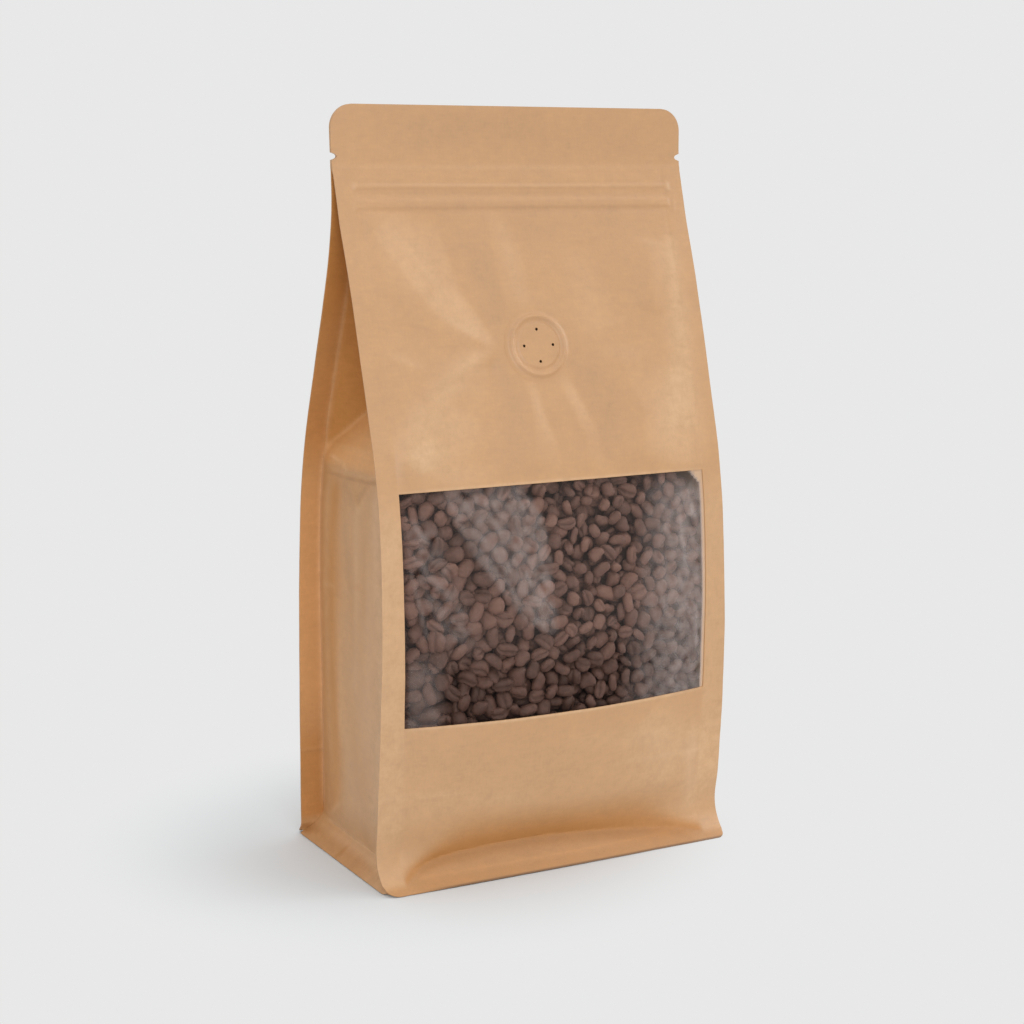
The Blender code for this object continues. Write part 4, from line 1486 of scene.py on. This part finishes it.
class BeanSettings(bpy.types.PropertyGroup):
    seed: bpy.props.IntProperty(name="Seed", description="Which packing is used", default=7, min=0)
    spacing: bpy.props.FloatProperty(
        name="Spacing", description="Distance between neighbouring beans", default=0.0056,
        min=0.004, max=0.02, unit="LENGTH",
    )
    depth: bpy.props.FloatProperty(
        name="Depth", description="How deep the modelled beans lie behind the film",
        default=0.0115, min=0.004, max=0.04, unit="LENGTH",
    )
    size: bpy.props.FloatProperty(
        name="Size", description="Scale of every bean", default=1.0, min=0.5, max=2,
    )
    dark_roast: bpy.props.FloatVectorProperty(
        name="Dark roast", description="Colour of the darkest beans", subtype="COLOR", size=3,
        min=0, max=1, default=(0.062, 0.028, 0.019),
    )
    light_roast: bpy.props.FloatVectorProperty(
        name="Light roast", description="Colour of the lightest beans", subtype="COLOR", size=3,
        min=0, max=1, default=(0.185, 0.093, 0.066),
    )


class ValveSettings(bpy.types.PropertyGroup):
    pinholes: bpy.props.IntProperty(
        name="Pinholes", description="How many pinholes the valve has", default=4, min=1, max=12,
    )
    ring_radius: bpy.props.FloatProperty(
        name="Ring radius", description="How far the pinholes are from the valve's middle",
        default=0.0056, min=0.001, max=0.007, unit="LENGTH",
    )
    hole_radius: bpy.props.FloatProperty(
        name="Hole radius", description="Radius of a pinhole", default=0.00052, min=0.0002,
        max=0.001, unit="LENGTH",
    )


class StageSettings(bpy.types.PropertyGroup):
    tone: bpy.props.FloatProperty(
        name="Backdrop", description="The floor's and the backdrop's brightness", default=0.807,
        min=0, max=1,
    )
    ambient: bpy.props.FloatProperty(
        name="Ambient", description="Strength of the light from all round", default=0.476, min=0,
    )
    overhead: bpy.props.FloatProperty(
        name="Overhead", description="Added strength of the light from above", default=0.77, min=0,
    )
    front_power: bpy.props.FloatProperty(
        name="Front light", description="Power of the soft light in front", default=10.9, min=0,
        subtype="POWER",
    )
    side_power: bpy.props.FloatProperty(
        name="Side light", description="Power of the soft light at the right", default=8.8, min=0,
        subtype="POWER",
    )


# ---------------------------------------------------------------- operators


class POUCH_OT_panels(bpy.types.Operator):
    """Builds the front and the back panel with their fins and the header"""

    bl_idname = "pouch.panels"
    bl_label = "Panels"

    def execute(self, context):
        material = kraft_material("kraft_panel", context.scene.pouch_kraft)
        for name, rear in (("front_panel", False), ("back_panel", True)):
            piece = new_panel(name, rear)
            add_attribute(piece, "painted_light", back_painted_light if rear else front_painted_light)
            dress(piece, material)
            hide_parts("pouch")
        return {"FINISHED"}


class POUCH_OT_gussets(bpy.types.Operator):
    """Builds the two side gussets, folded inwards above the beans"""

    bl_idname = "pouch.gussets"
    bl_label = "Gussets"

    def execute(self, context):
        material = kraft_material("kraft_gusset", context.scene.pouch_kraft)
        for name in ("left", "right"):
            piece = new_gusset(name)
            add_attribute(piece, "painted_light", gusset_painted_light)
            dress(piece, material)
            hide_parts("pouch")
        return {"FINISHED"}


class POUCH_OT_base(bpy.types.Operator):
    """Builds the base sheet inside the skirt"""

    bl_idname = "pouch.base"
    bl_label = "Base"

    def execute(self, context):
        piece = new_base()
        dress(piece, kraft_material("kraft_base", context.scene.pouch_kraft))
        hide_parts("pouch")
        return {"FINISHED"}


class POUCH_OT_film(bpy.types.Operator):
    """Builds the window's film behind the front panel's opening"""

    bl_idname = "pouch.film"
    bl_label = "Window Film"

    def execute(self, context):
        piece = new_film()
        add_attribute(piece, "haze_and_reflection", film_haze_and_reflection)
        dress(piece, film_material(context.scene.pouch_film))
        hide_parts("window_film")
        return {"FINISHED"}


class POUCH_OT_beans(bpy.types.Operator):
    """Builds the beans behind the window and the heap's inside"""

    bl_idname = "pouch.beans"
    bl_label = "Beans"

    KINDS = 7

    def execute(self, context):
        settings = context.scene.pouch_beans
        material = bean_material(settings)
        kinds = bpy.data.collections.new("bean_kinds")
        context.scene.collection.children.link(kinds)
        for kind in range(self.KINDS):
            kinds.objects.link(bean_kind(kind))
        rows = bean_points(settings.seed, settings.spacing / MM, settings.depth / MM, self.KINDS)
        mesh = bpy.data.meshes.new("bean_places")
        mesh.from_pydata((rows[:, :3] * MM).tolist(), [], [])
        stored = (
            ("turn", "FLOAT_VECTOR", "vector", rows[:, 3:6]),
            ("size", "FLOAT_VECTOR", "vector", rows[:, 6:9] * MM),
            ("kind", "INT", "value", rows[:, 9].astype(np.int32)),
            ("shade", "FLOAT", "value", rows[:, 10].astype(np.float32)),
        )
        for name, kind, member, values in stored:
            attribute = mesh.attributes.new(name, kind, "POINT")
            attribute.data.foreach_set(member, values.reshape(-1))
        heap = new_object("coffee_bean_heap", mesh)
        run_tree(heap, heap_tree(), {"Kinds": kinds, "Size": settings.size, "Material": material})
        for old in list(kinds.objects):
            bpy.data.objects.remove(old)
        bpy.data.collections.remove(kinds)
        core = new_core()
        for piece in (heap, core):
            dress(piece, material)
            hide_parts("coffee_beans")
        return {"FINISHED"}


class POUCH_OT_valve(bpy.types.Operator):
    """Builds the degassing valve's cover with its pinholes"""

    bl_idname = "pouch.valve"
    bl_label = "Valve"

    def execute(self, context):
        settings = context.scene.pouch_valve
        material = kraft_material("kraft_valve", context.scene.pouch_kraft)
        cover = new_valve_blank()
        run_tree(cover, pinhole_tree(), {
            "Holes": settings.pinholes, "Ring Radius": settings.ring_radius,
            "Hole Radius": settings.hole_radius, "Material": material,
        })
        press_onto_panel(cover)
        dress(cover, material)
        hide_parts("valve")
        return {"FINISHED"}


class POUCH_OT_stage(bpy.types.Operator):
    """Builds the floor, the lights, the backdrop and the camera"""

    bl_idname = "pouch.stage"
    bl_label = "Stage"

    def execute(self, context):
        settings = context.scene.pouch_stage
        build_floor(settings)
        build_world(context.scene, settings)
        build_soft_light("soft_front", -15, 8, settings.front_power)
        build_soft_light("soft_side", 80, 20, settings.side_power)
        build_camera(context.scene)
        context.scene.view_settings.view_transform = "Standard"
        return {"FINISHED"}


def build_floor(settings):
    mesh = bpy.data.meshes.new("floor")
    reach = 14.0
    corners = [(-reach, -reach, 0), (reach, -reach, 0), (reach, reach, 0), (-reach, reach, 0)]
    mesh.from_pydata(corners, [], [(0, 1, 2, 3)])
    floor = new_object("floor", mesh)
    material = bpy.data.materials.new("pale_floor")
    material.use_nodes = True
    tree = material.node_tree
    tree.nodes.clear()
    place = add_node(tree, "ShaderNodeTexCoord").outputs["Object"]
    # The near disc is centred a little left of and behind the pouch, where its shadow falls
    shifted = add_node(
        tree, "ShaderNodeVectorMath", {0: place, 1: (0.03, -0.02, 0)}, operation="ADD"
    ).outputs[0]
    away = add_node(tree, "ShaderNodeVectorMath", {0: shifted}, operation="LENGTH").outputs["Value"]
    share = add_node(
        tree, "ShaderNodeMapRange", {"Value": away, "From Min": 0.055, "From Max": 0.125},
        interpolation_type="SMOOTHSTEP",
    ).outputs[0]
    # Near the pouch the floor is diffuse and takes its shadow, its albedo set low and slightly cool to deepen
    # that shadow: painted shadow. Farther out it shines evenly at the backdrop's brightness.
    near = add_node(tree, "ShaderNodeBsdfDiffuse", {"Color": (0.672, 0.698, 0.713, 1)})
    tone = (settings.tone, settings.tone, settings.tone, 1)
    far = add_node(tree, "ShaderNodeEmission", {"Color": tone})
    both = add_node(
        tree, "ShaderNodeMixShader", {0: share, 1: near.outputs[0], 2: far.outputs[0]}
    )
    add_node(tree, "ShaderNodeOutputMaterial", {"Surface": both.outputs[0]})
    floor.data.materials.append(material)


def build_world(scene, settings):
    world = bpy.data.worlds.new("backdrop")
    world.use_nodes = True
    tree = world.node_tree
    tree.nodes.clear()
    seen = add_node(tree, "ShaderNodeLightPath").outputs["Is Camera Ray"]
    way = add_node(tree, "ShaderNodeTexCoord").outputs["Generated"]
    height = add_node(tree, "ShaderNodeSeparateXYZ", {0: way}).outputs["Z"]
    strength = add_node(
        tree, "ShaderNodeMapRange",
        {
            "Value": height, "From Min": 0.25, "From Max": 0.8, "To Min": settings.ambient,
            "To Max": settings.ambient + settings.overhead,
        },
        interpolation_type="SMOOTHSTEP",
    ).outputs[0]
    light = add_node(tree, "ShaderNodeBackground", {"Color": (1, 1, 1, 1), "Strength": strength})
    shown = add_node(tree, "ShaderNodeBackground", {"Color": (1, 1, 1, 1), "Strength": settings.tone})
    both = add_node(tree, "ShaderNodeMixShader", {0: seen, 1: light.outputs[0], 2: shown.outputs[0]})
    add_node(tree, "ShaderNodeOutputWorld", {"Surface": both.outputs[0]})
    scene.world = world


def build_soft_light(name, azimuth, elevation, power):
    """A large soft disc aimed at the pouch, azimuth 0 being straight in front of it."""
    lamp = bpy.data.lights.new(name, "AREA")
    lamp.shape = "DISK"
    lamp.size = 1.1
    lamp.energy = power
    turn = math.radians(azimuth)
    lift = math.radians(elevation)
    away = Vector((math.sin(turn) * math.cos(lift), -math.cos(turn) * math.cos(lift), math.sin(lift)))
    light = bpy.data.objects.new(name, lamp)
    light.location = 1.8 * away + Vector((0.0, 0.0, 0.12))
    light.rotation_euler = (-away).to_track_quat("-Z", "Y").to_euler()
    bpy.context.scene.collection.objects.link(light)


def build_camera(scene):
    lens = bpy.data.cameras.new("camera")
    lens.lens = 70.5
    lens.clip_start = 0.01
    camera = bpy.data.objects.new("camera", lens)
    camera.location = (-0.3323, -0.6159, 0.2382)
    camera.rotation_euler = (math.radians(80.35), 0, math.radians(-28.36))
    scene.collection.objects.link(camera)
    scene.camera = camera


# ---------------------------------------------------------------- panel


class POUCH_PT_build(bpy.types.Panel):
    """The pouch's sizes, colours and build steps"""

    bl_label = "Kraft Coffee Pouch"
    bl_space_type = "VIEW_3D"
    bl_region_type = "UI"
    bl_category = "Pouch"

    def draw(self, context):
        scene = context.scene
        steps = (
            (scene.pouch_kraft, ("pouch.panels", "pouch.gussets", "pouch.base")),
            (scene.pouch_film, ("pouch.film",)),
            (scene.pouch_beans, ("pouch.beans",)),
            (scene.pouch_valve, ("pouch.valve",)),
            (scene.pouch_stage, ("pouch.stage",)),
        )
        for settings, operators in steps:
            box = self.layout.box()
            for name in settings.bl_rna.properties.keys():
                if name not in ("rna_type", "name"):
                    box.prop(settings, name)
            for operator in operators:
                box.operator(operator)


SETTINGS = {
    "pouch_kraft": KraftSettings,
    "pouch_film": FilmSettings,
    "pouch_beans": BeanSettings,
    "pouch_valve": ValveSettings,
    "pouch_stage": StageSettings,
}
OPERATORS = (
    POUCH_OT_panels, POUCH_OT_gussets, POUCH_OT_base, POUCH_OT_film, POUCH_OT_beans,
    POUCH_OT_valve, POUCH_OT_stage,
)


def register():
    for group in (*SETTINGS.values(), *OPERATORS, POUCH_PT_build):
        bpy.utils.register_class(group)
    for name, group in SETTINGS.items():
        setattr(bpy.types.Scene, name, bpy.props.PointerProperty(type=group))


def unregister():
    for name in SETTINGS:
        delattr(bpy.types.Scene, name)
    for group in (POUCH_PT_build, *reversed(OPERATORS), *reversed(SETTINGS.values())):
        bpy.utils.unregister_class(group)


def main():
    register()
    bpy.ops.pouch.panels()
    bpy.ops.pouch.gussets()
    bpy.ops.pouch.base()
    bpy.ops.pouch.film()
    bpy.ops.pouch.beans()
    bpy.ops.pouch.valve()
    bpy.ops.pouch.stage()


if __name__ == "__main__":
    main()
